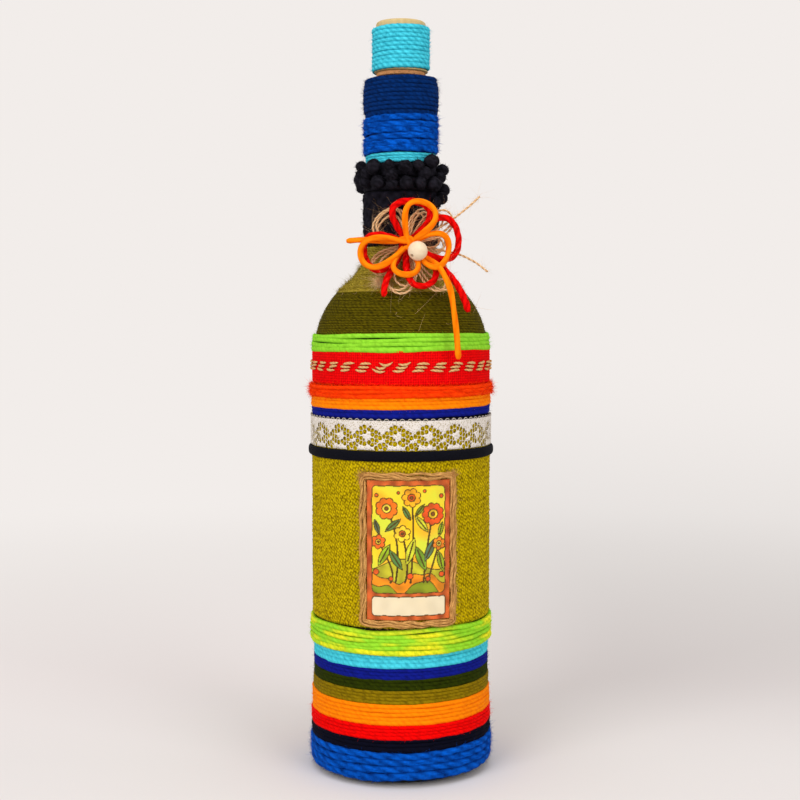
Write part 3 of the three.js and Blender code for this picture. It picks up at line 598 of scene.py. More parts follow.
twine_route = whole_run(TWINE_LOOPS, TWINE_TAILS[0], TWINE_LAYER, TWINE, TWINE_ARCH)
inner_route = whole_run(TWINE_LOOPS, [], TWINE_LAYER + 0.9, TWINE, TWINE_ARCH, 0.84, 6)
outer_route = whole_run(TWINE_LOOPS, [], TWINE_LAYER + 0.5, TWINE, TWINE_ARCH, 0.95, -6)
twine_cord("twine_bow", twine_route, 1100, 4.2, "bow_twine", 11)
twine_cord("twine_bow_inner", inner_route, 800, 4.0, None, 12)
twine_cord("twine_bow_outer", outer_route, 800, 4.0, None, 18)
twine_cord("twine_tail", second_tail(TWINE_TAILS[1], TWINE_LAYER), 170, 3.0, None, 13)
red_route = whole_run(RED_LOOPS, RED_TAILS[1], RED_LAYER, RED, RED_ARCH)
red_cord("red_bow", red_route, 1300, "bow_red_cord", 14)
red_cord("red_tail", second_tail(RED_TAILS[0], RED_LAYER), 200, None, 15)
orange_route = whole_run(ORANGE_LOOPS, ORANGE_TAILS[1], ORANGE_LAYER, ORANGE, ORANGE_ARCH)
beaded_cord = orange_cord("orange_bow", orange_route, 900, "bow_orange_cord", 16)
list(orange_cord("orange_tail", second_tail(ORANGE_TAILS[0], ORANGE_LAYER), 120, None, 17))

# %% [markdown]
# The outline of the glass
#
# Everything on the bottle is laid at a distance along its outline: an arc for the heel, the straight body,
# an arc for the shoulder, one that flares into the neck, and the neck with its thicker mouth. The outline is
# sampled once, and a lookup then gives the place and the slope at any distance.

# %% Outline
BODY, HEEL, SHOULDER, FLARE, NECK, MOUTH = 37.3, 7.0, 37.7, 25.0, 14.2, 14.7
GLASS_HEIGHT, SHOULDER_START, FINISH_START = 301.5, 183.0, 285.5
SHOULDER_ANGLE = math.acos(1 - (BODY - NECK) / (SHOULDER + FLARE))
NECK_START = SHOULDER_START + (SHOULDER + FLARE) * math.sin(SHOULDER_ANGLE)


def arc(centre, radius, start, stop, count=60):
    angles = np.linspace(start, stop, count)
    return np.stack([centre[0] + radius * np.cos(angles), centre[1] + radius * np.sin(angles)], -1)


outline = np.concatenate([
    arc((BODY - HEEL, HEEL), HEEL, -math.pi / 2, 0),
    np.linspace((BODY, HEEL), (BODY, SHOULDER_START), 400)[1:],
    arc((BODY - SHOULDER, SHOULDER_START), SHOULDER, 0, SHOULDER_ANGLE)[1:],
    arc((NECK + FLARE, NECK_START), FLARE, math.pi + SHOULDER_ANGLE, math.pi)[1:],
    np.linspace((NECK, NECK_START), (NECK, FINISH_START), 200)[1:],
    np.linspace((NECK, FINISH_START), (MOUTH, FINISH_START + 1), 4)[1:],
    np.linspace((MOUTH, FINISH_START + 1), (MOUTH, GLASS_HEIGHT + 1.2), 40)[1:],
])
outline_run = distance_along(outline)
outline_end = outline_run[-1] - 2.0
outline_slope = unit(np.gradient(outline, outline_run, axis=0))


def on_glass(along):
    """Radius, height and slope (outwards, upwards) at distances along the outline."""
    return [np.interp(along, outline_run, column) for column in (*outline.T, *outline_slope.T)]


HEAD_RADIUS, HEAD_SEAT = 10.8, 304.3


def on_head(along):
    """The same for the straight wall of the stopper's head."""
    along = np.asarray(along, float)
    return [along * 0 + HEAD_RADIUS, along + HEAD_SEAT, along * 0, along * 0 + 1]


def lay(place, along, azimuth, off):
    """Points laid off a surface, with the directions across (up the outline) and out of it."""
    radius, height, rise, climb = place(along)
    sine, cosine = np.sin(azimuth), np.cos(azimuth)
    outward = np.stack([climb * sine, -climb * cosine, -rise], -1)
    across = np.stack([rise * sine, -rise * cosine, climb], -1)
    points = np.stack([radius * sine, -radius * cosine, height], -1)
    return points + np.asarray(off)[..., None] * outward, across, outward


print("outline length", round(outline_end, 2), "mm")

# %% [markdown]
# Wound yarn
#
# A real winding is one strand that climbs by its own width each turn, starts where the last colour was cut,
# and never lies quite even. So each yarn is a helix up the outline with the turns and pitch of its CAD solid,
# a drift of its own, a twist of plies in its section, and hairs on its outer side.

# %% Table of yarns
GAP, TURN_GAP = 0.3, 0.45
YARN_HABITS = {"soft": 0.88, "pressed": 0.65, "nap": 0, "fluff": 0.05, "lift": 0.0, "taper": 0.0,
               "swell": 0.0, "under": 0.0}


def yarn(node, slot, turns, pitch, thick, hairs, hair=1.3, plies=3, twist=9.0, slack=0.06, **habits):
    """A row of the table, in mm. Soft is how round the section is, nap counts the hairs that lie on the yarn
    and fluff is the radius of those that stand off it. Lift raises a band's last turns, taper thins them and
    swell fills its middle. Under is how many turns go on below its first."""
    return {"node": node, "slot": slot, "turns": turns, "pitch": pitch, "thick": thick, "hairs": hairs,
            "hair": hair, "plies": plies, "twist": twist, "slack": slack, "finish": slot,
            **YARN_HABITS, **habits}


THICK_YARN = {"soft": 0.72, "pressed": 0.35, "fluff": 0.07}
FOOT_YARNS = [
    yarn("foot_royal_yarn", "royal_yarn", 4, 2.9, 2.8, 3600, 2.1, 3, 21, 0.1, nap=4500, **THICK_YARN),
    yarn("foot_navy_yarn", "navy_yarn", 3, 1.6, 2.3, 900),
    yarn("foot_red_yarn", "red_yarn", 4, 1.48, 2.4, 1300, 1.9),
    yarn("foot_orange_yarn", "orange_yarn", 5, 1.74, 2.0, 1200, 1.5),
    yarn("foot_olive_yarn", "olive_yarn", 4, 1.4, 1.5, 1000),
    yarn("foot_green_yarn", "green_yarn", 3, 1.61, 1.2, 700),
    yarn("foot_ultramarine_yarn", "ultramarine_yarn", 3, 1.48, 1.2, 700),
    yarn("foot_turquoise_yarn", "turquoise_yarn", 3, 1.94, 1.2, 800),
    yarn("foot_variegated_yarn", "variegated_yarn", 6, 1.75, 2.8, 1900, 1.6, 3, 11, 0.26),
]
WAIST_YARNS = [
    yarn("waist_ultramarine_yarn", "ultramarine_yarn", 2, 1.75, 1.8, 600),
    yarn("waist_orange_yarn", "orange_yarn", 3, 1.6, 2.1, 900),
    yarn("waist_flame_yarn", "flame_yarn", 3, 1.5, 2.8, 3500, 2.5, 3, 10, 0.12, nap=2400, fluff=0.07),
]
SHOULDER_YARNS = [
    yarn("shoulder_lime_yarn", "lime_yarn", 4, 1.75, 1.95, 1200, 1.6, 3, 9, 0.2, pressed=0.8),
    yarn("shoulder_dark_thread", "dark_thread", 10, 1.97, 0.9, 900, 1.2, 2, 4.5, pressed=0.4, under=1.6),
    yarn("shoulder_light_thread", "light_thread", 10, 2.45, 0.9, 2800, 2.4, 2, 4.5, 0.16, pressed=0.4,
         nap=1600, fluff=0.07),
]
NECK_YARNS = [
    yarn("neck_turquoise_yarn", "turquoise_yarn", 3, 1.25, 1.1, 500, pressed=0.4),
    yarn("neck_royal_yarn", "royal_yarn", 6, 2.6, 2.0, 2600, 1.9, 3, 19, 0.1, nap=3600, **THICK_YARN),
    yarn("neck_navy_yarn", "navy_yarn", 9, 1.68, 1.2, 1800, 1.7, finish="neck_navy", soft=0.84, lift=0.9,
         pressed=0.45, taper=0.45, swell=0.5),
]
STOPPER_YARNS = [
    yarn("stopper_yarn", "turquoise_yarn", 10, 1.8, 1.7, 1500, 1.5, soft=0.8, pressed=0.4, fluff=0.065),
]
FINE_TURNS = {"shoulder_dark_thread": 27, "shoulder_light_thread": 32}


def plan_winding(yarns):
    """Gives each yarn the centre of its first turn and its first rise, and returns the winding's height."""
    centre = (yarns[0]["pitch"] - TURN_GAP) / 2
    before = yarns[0]["pitch"]
    for row in yarns:
        centre += max(0, (row["pitch"] - before) / 2)
        row["rise"] = max(row["pitch"], (row["pitch"] + before) / 2)
        row["start"] = centre
        row["climb"] = row["rise"] + row["pitch"] * (row["turns"] - 1)
        centre += row["climb"]
        before = row["pitch"]
    return centre + (before - TURN_GAP) / 2


foot_edge = 6.4
burlap_edge = foot_edge + plan_winding(FOOT_YARNS) + GAP
RED_HEIGHT = 12.86
red_top = math.pi / 2 * HEEL + SHOULDER_START - HEEL
red_edge = red_top - RED_HEIGHT
waist_edge = red_edge - GAP - plan_winding(WAIST_YARNS)
burlap_top = waist_edge - GAP
shoulder_edge = red_top + GAP
neck_ribbon_edge = shoulder_edge + plan_winding(SHOULDER_YARNS) + GAP
neck_edge = outline_end - plan_winding(NECK_YARNS)
band_edges = (burlap_edge, burlap_top, red_edge, red_top, neck_edge)
print("bands along the outline:", [round(edge, 1) for edge in band_edges])

# %% [markdown]
# The strand's section is as wide as the pitch, so that neighbouring turns touch, and as thick as the CAD
# solid. The fine threads of the shoulder keep their CAD height but have their real number of turns.

# %% Wind the yarns
SEAT = 0.15


def wind(row, place, edge, body, seed):
    """Winds one yarn, seated a little off the glass. It starts and ends at the back, as a taper."""
    turns = FINE_TURNS.get(row["node"], row["turns"])
    fine = turns != row["turns"]
    pitch = row["climb"] / turns if fine else row["pitch"]
    rise = pitch if fine else row["rise"]
    radius = float(place(edge + row["start"])[0])
    step = 0.9 if fine else max(0.55, row["pitch"] * 0.3)
    turn = np.linspace(0.003 - row["under"], turns - 0.003, int(turns * 2 * math.pi * radius / step))
    run = 2 * math.pi * radius * turn
    along = edge + row["start"] + rise * np.minimum(turn, 1) + pitch * np.maximum(turn - 1, 0)
    along += wander(run, 60, row["slack"] * pitch, seed) + row["lift"] * turn / turns
    thick = (0.8 if fine else 1.0) * row["thick"] / 2
    last_third = np.clip(3 * turn / turns - 2, 0, 1)
    high = thick * (1 + wander(run, 11, 0.06, seed + 1)) * (1 - row["taper"] * last_third)
    spacing = pitch + (rise - pitch) * np.clip(1 - turn, 0, 1)
    snug = (1.04 if fine else 1.22) * (1 + 0.25 * np.clip(1.6 - turn, 0, 1))
    wide = spacing / 2 * snug * (1 + wander(run, 17, 0.06, seed + 2))
    ends = np.clip(np.minimum(turn + row["under"], turns - turn) * 2 * math.pi * radius / 3 + 0.4, 0, 1)
    belly = row["swell"] * np.sin(np.pi * turn / turns)
    off = SEAT + high * ends + wander(run, 40, 0.06 * thick, seed + 4) + belly
    line, across, outward = lay(place, along, math.pi + 2 * math.pi * turn, off)
    sides = 6 if fine else 10 if pitch > 2 else 8
    strand = loft(line, across, outward, wide * ends, high * ends, sides, row["plies"], row["twist"],
                  row["soft"], row["pressed"])
    hairs = hairs_on(line, across, outward, thick, 2 * row["hairs"], row["hair"], seed + 3, True,
                     row["fluff"])
    lying = hairs_on(line, across, outward, 1.4 * thick, row["nap"], 3.4, seed + 5, True, 0.075,
                     lean=(2.5, 7), bend=0.1)
    piece = make_piece(row["node"] + "_wound", [strand, hairs, lying], FINISHES[row["finish"]])
    settle(piece, body, row["slot"], row["node"])
    print(piece.name, turns, "turns,", len(piece.data.polygons), "faces")


for first_seed, yarns, edge in ((100, FOOT_YARNS, foot_edge), (200, WAIST_YARNS, waist_edge),
                                (300, SHOULDER_YARNS, shoulder_edge), (400, NECK_YARNS, neck_edge)):
    for number, row in enumerate(yarns):
        wind(row, on_glass, edge, "bottle", first_seed + 10 * number)
plan_winding(STOPPER_YARNS)
wind(STOPPER_YARNS[0], on_head, 0.0, "stopper", 500)

# %% [markdown]
# Cloth bands
#
# The burlap, the red ribbon and the black neck ribbon are sheets stretched round the glass. Cloth simulation
# has nothing to drape here, so each is a closed ring of faces laid on the outline, with the weave raised in
# the mesh: a point is high where threads cross and low in the holes between them.

# %% Cloth bands
def band(name, low, high, thickness, spacing, weave, finish, node, seed):
    """A ring of cloth. weave(rows, columns, generator) gives the raise of each point and its crest."""
    generator = seeded(seed)
    rows = max(2 * int((high - low) / spacing / 2), 4) + 1
    radius = float(on_glass((low + high) / 2)[0]) + SEAT + thickness
    columns = 2 * int(math.pi * radius / spacing)
    along = np.linspace(low, high, rows)
    azimuth = math.pi + np.arange(columns) * 2 * math.pi / columns
    raised, crest = weave(rows, columns, generator)
    off = SEAT + thickness + raised
    off[[0, -1]] = SEAT + thickness * 0.6
    grid_off = np.concatenate([np.full((1, columns), SEAT), off, np.full((1, columns), SEAT)])
    grid_along = np.concatenate([[low], along, [high]])[:, None] + 0 * grid_off
    points = lay(on_glass, grid_along, azimuth[None, :] + 0 * grid_off, grid_off)[0]
    crest = np.concatenate([np.zeros((1, columns)), crest, np.zeros((1, columns))])
    total = rows + 2
    row, column = np.arange(total)[:, None], np.arange(columns)[None, :]
    above, beside = (row + 1) % total, (column + 1) % columns
    quads = np.stack([row * columns + column, row * columns + beside, above * columns + beside,
                      above * columns + column], -1)
    step = 2 * math.pi * radius / columns
    left, right = column * step + 0 * row, (column + 1) * step + 0 * row
    bottom, top = grid_along[row, 0] + 0 * column, grid_along[above, 0] + 0 * column
    corners = ((left, bottom), (right, bottom), (right, top), (left, top))
    quad_uv = np.stack([np.stack(corner, -1) for corner in corners], 2)
    part = {
        "points": points.reshape(-1, 3),
        "crest": crest.ravel(),
        "quads": quads.reshape(-1, 4),
        "quad_uv": quad_uv.reshape(-1, 4, 2),
        "tris": np.zeros((0, 3), int),
        "tri_uv": np.zeros((0, 3, 2)),
    }
    piece = settle(make_piece(name, [part], FINISHES[finish]), "bottle", finish, node)
    print(name, rows, "rows by", columns, "columns")
    return piece, 2 * math.pi * radius


def plain_weave(height, jitter):
    """Threads over and under each other, of a given height and unevenness."""
    def weave(rows, columns, generator):
        row, column = np.arange(rows)[:, None], np.arange(columns)[None, :]
        cross = ((-1.0) ** row + (-1.0) ** column) / 2
        uneven = generator.normal(size=(rows, columns)) * jitter
        thread = generator.normal(size=(rows, 1)) * jitter + generator.normal(size=(1, columns)) * jitter
        raised = height * (cross + uneven + thread)
        # The crest is painted shade: low in the holes between threads, high where they cross, a little
        # uneven.
        crest = np.clip(0.5 + 0.42 * cross + 0.22 * uneven / jitter * 0.6, 0, 1)
        return raised, crest
    return weave


def knit(rows, columns, generator):
    """The lumpy surface of the black ribbon and tapes."""
    row, column = np.arange(rows)[:, None], np.arange(columns)[None, :]
    stitch = np.sin(row * 0.9 + 0.7 * np.sin(column * 0.45)) * np.cos(column * 0.8)
    lump = generator.normal(size=(rows, columns)) * 0.3
    slow = np.sin(row * 0.31 + 2.1 * np.sin(column * 0.17)) * np.sin(column * 0.23 + 0.4 * row)
    # The crest is painted shade: low between the stitches.
    return 0.32 * (stitch + lump) + 0.5 * slow, np.clip(0.45 + 0.4 * stitch + 0.1 * lump, 0, 1)


print("weaves are ready")

# %% [markdown]
# The burlap's coarse threads swell into nubs, which a Voronoi texture on the UV map paints onto the weave as
# shade: light in the middle of a nub and dark between nubs. Its top edge, behind the loops of the lace, lies
# in the shade of the yarn above, so a painted shadow fades its colour to nearly black there.

# %% Burlap material
shades("burlap", (213, 186, 6), (114, 93, 0), 0.8, (0.7, 0.7, 1), 0.0)
burlap_tree = FINISHES["burlap"].node_tree
nubs = burlap_tree.nodes.new("ShaderNodeTexVoronoi")
nubs.inputs["Scale"].default_value = 1.0
nubs.inputs["Randomness"].default_value = 0.4
burlap_tree.links.new(uv_vector(burlap_tree, (0.9, 0.76, 1), 0.5), nubs.inputs["Vector"])
nub_shade = next(node for node in burlap_tree.nodes if node.type == "GROUP")
woven = next(node for node in burlap_tree.nodes if node.type == "ATTRIBUTE").outputs["Fac"]
# Painted shade: each nub is light in the middle and falls to the groove colour at its rim.
fallen = math_node(burlap_tree, "MULTIPLY", nubs.outputs["Distance"], 1.9)
raised_nub = math_node(burlap_tree, "SUBTRACT", 1.2, fallen)
nub_level = math_node(burlap_tree, "ADD", raised_nub, math_node(burlap_tree, "MULTIPLY", woven, 0.3))
burlap_tree.links.new(nub_level, nub_shade.inputs["Crest"])
burlap_shader = burlap_tree.nodes["Principled BSDF"]
height_up = burlap_tree.nodes.new("ShaderNodeSeparateXYZ")
burlap_tree.links.new(uv_vector(burlap_tree, (1, 1, 1)), height_up.inputs["Vector"])
# Painted shadow under the yarn: near its top edge the cloth's colour fades to nearly black.
yarn_shadow_fade = fade(burlap_tree, height_up.outputs["Y"], burlap_top - 0.7, burlap_top - 0.2)
lit_cloth = burlap_shader.inputs["Base Color"].links[0].from_socket
shadowed_cloth = mix_node(burlap_tree, yarn_shadow_fade, lit_cloth, colour(20, 18, 30))
burlap_tree.links.new(shadowed_cloth, burlap_shader.inputs["Base Color"])
print("burlap material:", len(burlap_tree.nodes), "nodes")

# %% Lay the bands
TUCK, TOP_TUCK, LAP = 0.6, 2.0, 1.0
BURLAP_THICKNESS, RED_THICKNESS, NECK_THICKNESS = 1.6, 1.5, 2.1
burlap_off = GAP + BURLAP_THICKNESS
burlap, burlap_length = band("burlap", burlap_edge - TUCK, burlap_top + TUCK, BURLAP_THICKNESS, 0.66,
                             plain_weave(0.2, 0.3), "burlap", "burlap_wrap", 21)
ribbon, ribbon_length = band("woven_ribbon", red_edge - TUCK, red_top + TOP_TUCK, RED_THICKNESS, 0.52,
                             plain_weave(0.16, 0.2), "red_ribbon", "red_ribbon", 22)
TAPE_HEIGHT = 5.6
tape_edge = neck_edge - 2 * (GAP + TAPE_HEIGHT)
neck_top = tape_edge - GAP
collar, collar_length = band("neck_ribbon", neck_ribbon_edge - LAP, neck_top, NECK_THICKNESS, 0.7, knit,
                             "black_ribbon", "neck_black_ribbon", 23)
nap_random = seeded(24)
nap_count = 1600
nap_along = nap_random.uniform(neck_ribbon_edge + 0.5, neck_top - 0.5, nap_count)
nap_turn = nap_random.uniform(0, 2 * math.pi, nap_count)
nap_root, _, nap_out = lay(on_glass, nap_along, nap_turn, np.full(nap_count, NECK_THICKNESS))
nap_heading = nap_out + 0.9 * nap_random.normal(size=(nap_count, 3))
nap_curl = 0.5 * nap_random.normal(size=(nap_count, 3))
ribbon_nap = fibres(nap_root, nap_heading, nap_curl, nap_random.uniform(0.6, 1.8, nap_count), 0.08, 0.5)
collar_nap = make_piece("neck_ribbon_nap", [ribbon_nap], FINISHES["black_ribbon"])
settle(collar_nap, "bottle", "black_ribbon")

# %% [markdown]
# Stitches on the red ribbon
#
# Gold thread is sewn through the ribbon in groups of three short stitches, each a little further along than
# the one below, and two groups at the front are bent. A stitch is a small spindle of two plies laid on the
# ribbon, and each gets its own length, tilt and sag.

# %% Stitches
STITCH_GROUPS, STITCH_RADIUS = 30, 39.3
BENT_GROUPS = {29: 1.0, 0: 0.5}
stitch_parts = []
stitch_random = seeded(31)
stitch_middle = (red_edge + red_top) / 2 + 0.8
for group in range(STITCH_GROUPS):
    bent = BENT_GROUPS.get(group, 0.0)
    for level_up in (-1, 0, 1):
        sideways = (1.1 * level_up + stitch_random.normal() * 0.2) / STITCH_RADIUS
        middle = 2 * math.pi * (group + 0.02) / STITCH_GROUPS + sideways
        reach = np.linspace(-1, 1, 7)
        half = stitch_random.uniform(2.5, 3.0)
        tilt = stitch_random.normal() * 0.2
        sag = stitch_random.normal() * 0.2 + bent
        along = stitch_middle + 1.45 * level_up + tilt * reach + sag * (reach**2 - 0.5)
        swell = np.sqrt(np.clip(1 - reach**2 * 0.94, 0, 1))
        azimuth = middle + half * reach / STITCH_RADIUS
        line, across, outward = lay(on_glass, along, azimuth, 1.75 + 0.45 * swell)
        stitch_parts.append(loft(line, across, outward, 0.7 * swell, 0.55 * swell, 6, 2, 3.4, 0.7, 0.4))
stitches = make_piece("gold_stitches", stitch_parts, FINISHES["stitch_thread"])
settle(stitches, "bottle", "stitch_thread", "stitch_thread")
print("stitches:", 3 * STITCH_GROUPS)

# %% [markdown]
# Lace
#
# The lace is a cotton ribbon with holes: six clusters of small eyes round a plain middle, a fan of eyes
# between two of those flowers at the lower edge, and a row of picot loops on top. An image with
# transparency would only look like holes. Here the flat ribbon is triangulated around real eyes, wrapped
# round the burlap and given its thickness with a Solidify modifier.

# %% Lace pattern
LACE_HEIGHT, LACE_REPEATS, LACE_RADIUS = 12.4, 19, 39.5
lace_edge = burlap_top - 12.6
lace_width = 2 * math.pi * LACE_RADIUS / LACE_REPEATS
EYE, SMALL_EYE, BIG_EYE, EYE_WALL, LACE_PHASE = 1.12, 0.66, 1.4, 0.08, -1.07
FLOWER_EYES = [
    (-2.74, 3.16, EYE), (-1.43, 3.69, EYE), (-1.43, 1.94, EYE), (-2.95, 1.48, EYE), (-4.64, 1.16, EYE),
    (-5.8, 0.0, EYE), (-4.6, -0.36, EYE), (0.74, 2.95, EYE), (1.96, 2.32, EYE), (1.16, 3.9, SMALL_EYE),
    (3.69, 1.58, EYE), (2.26, 0.74, EYE), (3.8, 0.0, EYE), (5.27, -0.63, EYE), (4.96, 1.16, SMALL_EYE),
    (-4.43, -2.0, EYE), (-3.02, -1.05, EYE), (-3.06, -2.74, EYE), (-1.48, -3.16, EYE),
    (-1.84, -1.48, SMALL_EYE), (0.84, -2.64, EYE), (2.1, -1.69, EYE), (2.0, -3.38, EYE), (3.8, -1.9, EYE),
    (3.48, -2.9, SMALL_EYE),
]
FAN_EYES = [
    (5.49, -4.11, BIG_EYE), (6.96, -3.59, EYE), (3.9, -5.0, EYE), (7.38, -4.9, EYE), (8.12, -4.1, SMALL_EYE),
]
lace_random = seeded(41)
flat_length = lace_width * LACE_REPEATS
eyes = []
for repeat in range(LACE_REPEATS):
    for x, y, size in FLOWER_EYES + (FAN_EYES if repeat < LACE_REPEATS - 1 else []):
        shift = lace_random.normal(size=2) * 0.04
        eyes.append((lace_width * (repeat + 0.5) + x + shift[0], 5.9 + y + shift[1], size))
eye_array = np.array(eyes)
print("lace:", LACE_REPEATS, "repeats,", len(eyes), "eyes")

# %% [markdown]
# Eyes that come close leave a thin wall of thread between them, so each is a ring of corners that stops at
# its own size or at such a wall. The outlines of ribbon and eyes go into a triangulation together with a
# grid of points on the plain parts, and the triangles inside the eyes are dropped.

# %% Cut the eyes
flat_points, flat_edges = [], []


def add_outline(points):
    start = len(flat_points)
    flat_points.extend(points)
    flat_edges.extend((start + i, start + (i + 1) % len(points)) for i in range(len(points)))


PICOTS = 4 * LACE_REPEATS
edge_steps = 4 * PICOTS
bottom_row = [(flat_length * i / edge_steps, 0.12 * (i % 2)) for i in range(edge_steps + 1)]
top_row = [(flat_length * i / edge_steps, LACE_HEIGHT - 0.12 * (i % 2)) for i in range(edge_steps, -1, -1)]
add_outline(bottom_row + top_row)
EYE_CORNERS = np.linspace(0, 2 * np.pi, 12, endpoint=False)
corner_ways = np.stack([np.cos(EYE_CORNERS), np.sin(EYE_CORNERS)], -1)


def eye_reach(number):
    """How far an eye opens in each direction: its own size, or up to the wall half way to a neighbour."""
    offsets = eye_array[:, :2] - eye_array[number, :2]
    apart = np.hypot(*offsets.T)
    reach = np.full(len(corner_ways), eye_array[number, 2])
    for other in np.flatnonzero((apart > 0) & (apart < 2.6)):
        share = eye_array[number, 2] / (eye_array[number, 2] + eye_array[other, 2])
        facing = corner_ways @ offsets[other] / apart[other]
        wall = (apart[other] * share - EYE_WALL / 2) / np.maximum(facing, 1e-3)
        reach = np.where(facing > 0, np.minimum(reach, wall), reach)
    return np.maximum(reach, 0.15)


reaches = np.array([eye_reach(number) for number in range(len(eyes))])
for centre, reach in zip(eye_array[:, :2], reaches):
    add_outline([tuple(p) for p in centre + reach[:, None] * corner_ways])


def eye_distance(x, y):
    """How far points are from their nearest eye: 0 at its centre and 1 on its rim."""
    dx = np.asarray(x)[..., None] - eye_array[:, 0]
    dy = np.asarray(y)[..., None] - eye_array[:, 1]
    share = np.mod(np.arctan2(dy, dx), 2 * np.pi) / (2 * np.pi) * len(EYE_CORNERS)
    first = np.floor(share).astype(int) % len(EYE_CORNERS)
    after = (first + 1) % len(EYE_CORNERS)
    number = np.arange(len(eyes))
    a = reaches[number, first][..., None] * corner_ways[first]
    b = reaches[number, after][..., None] * corner_ways[after]
    edge = b - a
    depth = (dx * edge[..., 1] - dy * edge[..., 0]) / (a[..., 0] * edge[..., 1] - a[..., 1] * edge[..., 0])
    return depth.min(axis=-1)


for x in np.arange(0.9, flat_length - 0.5, 0.95):
    for y in np.arange(0.9, LACE_HEIGHT - 0.5, 0.95):
        if eye_distance(x, y) > 1.4:
            flat_points.append((x, y))
INSIDE_OUTLINES = 1
cut = delaunay_2d_cdt(flat_points, flat_edges, [], INSIDE_OUTLINES, 1e-5)
flat = np.array([tuple(v) for v in cut[0]])
triangles = np.array([tuple(f) for f in cut[2]])
middles = flat[triangles].mean(axis=1)
lace_faces = triangles[eye_distance(middles[:, 0], middles[:, 1]) > 1.0].tolist()
sector = 0.5 * math.sin(2 * math.pi / len(EYE_CORNERS))
lace_area = LACE_HEIGHT * flat_length - sector * (reaches * np.roll(reaches, -1, axis=1)).sum()
thread_share = lace_area / (LACE_HEIGHT * flat_length)
print("flat lace:", len(lace_faces), "faces, share of thread", round(thread_share, 2))

# %% [markdown]
# The flat ribbon is now bent round: its length becomes an angle and its height a distance along the outline.
# The two ends meet at the back, where their points are merged before the ribbon gets its thickness. The plain
# parts are a fine net on the real ribbon, so a Voronoi texture puts small dots of the burlap's colour there.

# %% Wrap the lace
def wrapped(x, y, off):
    """Points of the flat ribbon, in mm, laid round the bottle."""
    azimuth = math.pi + (x + LACE_PHASE) / LACE_RADIUS
    return lay(on_glass, lace_edge + y, azimuth, x * 0 + off)[0]


lace_off = LACE_RADIUS - BODY
lace_tree = FINISHES["lace"].node_tree
net = lace_tree.nodes.new("ShaderNodeTexVoronoi")
net.inputs["Scale"].default_value = 1.0
lace_tree.links.new(uv_vector(lace_tree, (1.5, 1.5, 1)), net.inputs["Vector"])
pinhole = math_node(lace_tree, "LESS_THAN", net.outputs["Distance"], 0.36)
pinhole = math_node(lace_tree, "MULTIPLY", pinhole, 0.6)
lace_shader = lace_tree.nodes["Principled BSDF"]
thread_tone = lace_shader.inputs["Base Color"].links[0].from_socket
netted = mix_node(lace_tree, pinhole, thread_tone, colour(150, 132, 70))
lace_tree.links.new(netted, lace_shader.inputs["Base Color"])
mesh = bpy.data.meshes.new("lace")
mesh.from_pydata(wrapped(flat[:, 0], flat[:, 1], lace_off) * MM, [], lace_faces)
flat_uv = mesh.uv_layers.new(name="UVMap")
for loop in mesh.loops:
    flat_uv.data[loop.index].uv = flat[loop.vertex_index]
lace_crest = np.where(eye_distance(flat[:, 0], flat[:, 1]) < 1.1, 1.0, 0.75).astype(np.float32)
mesh.attributes.new("crest", "FLOAT", "POINT").data.foreach_set("value", lace_crest)
lace = bpy.data.objects.new("lace", mesh)
bpy.context.scene.collection.objects.link(lace)


def edit(piece):
    """Makes one object the only one selected, in edit mode with everything in it selected."""
    bpy.ops.object.select_all(action="DESELECT")
    piece.select_set(True)
    bpy.context.view_layer.objects.active = piece
    bpy.ops.object.mode_set(mode="EDIT")
    bpy.ops.mesh.select_all(action="SELECT")


edit(lace)
bpy.ops.mesh.remove_doubles(threshold=0.00005)
bpy.ops.mesh.normals_make_consistent(inside=False)
bpy.ops.object.mode_set(mode="OBJECT")
thickness = lace.modifiers.new("thickness", "SOLIDIFY")
thickness.thickness = 0.28 * MM
thickness.offset = 1
bpy.ops.object.modifier_apply(modifier="thickness")
lace.data.shade_smooth()
lace.data.materials.append(FINISHES["lace"])
settle(lace, "bottle", "lace", "lace_ribbon")
picot_parts = []
picot_half = np.full(7, 0.17)
for i in range(PICOTS):
    bow = np.linspace(0, np.pi, 7)
    x = lace_width / 4 * (i + 0.5) - 0.95 * np.cos(bow)
    line = wrapped(x, LACE_HEIGHT - 0.1 + 0.75 * np.sin(bow), lace_off + 0.2)
    out = unit(line * np.array([1.0, 1.0, 0.0]))
    across = unit(np.cross(out, unit(np.gradient(line, axis=0))))
    picot_parts.append(loft(line, across, out, picot_half, picot_half, 5, 1, 9, 1.0))
picots = settle(make_piece("lace_picots", picot_parts, FINISHES["lace"]), "bottle", "lace")
print("lace mesh:", len(lace.data.polygons), "faces and", PICOTS, "picots")

# %% [markdown]
# Turned pieces
#
# The glass, the braid, the cork shank, the wooden head and the bead are all turned shapes. Each starts as the
# line of its half section, and the spin tool turns that line round its axis. The doubles where the spin meets
# itself are merged, and the normals are set to point outwards.

# %% Spin helper
def spin(name, profile, finish, steps=96):
    """A turned piece round the Z axis from (radius, height) pairs in mm."""
    mesh = bpy.data.meshes.new(name)
    points = [(radius * MM, 0.0, height * MM) for radius, height in profile]
    mesh.from_pydata(points, [(i, i + 1) for i in range(len(points) - 1)], [])
    piece = bpy.data.objects.new(name, mesh)
    bpy.context.scene.collection.objects.link(piece)
    edit(piece)
    bpy.ops.mesh.spin(steps=steps, angle=2 * math.pi, center=(0, 0, 0), axis=(0, 0, 1))
    bpy.ops.mesh.select_all(action="SELECT")
    bpy.ops.mesh.remove_doubles(threshold=0.00001)
    bpy.ops.mesh.normals_make_consistent(inside=False)
    bpy.ops.object.mode_set(mode="OBJECT")
    bpy.ops.object.shade_smooth_by_angle(angle=math.radians(40))
    piece.data.materials.append(finish)
    print(name, len(piece.data.polygons), "faces")
    return piece


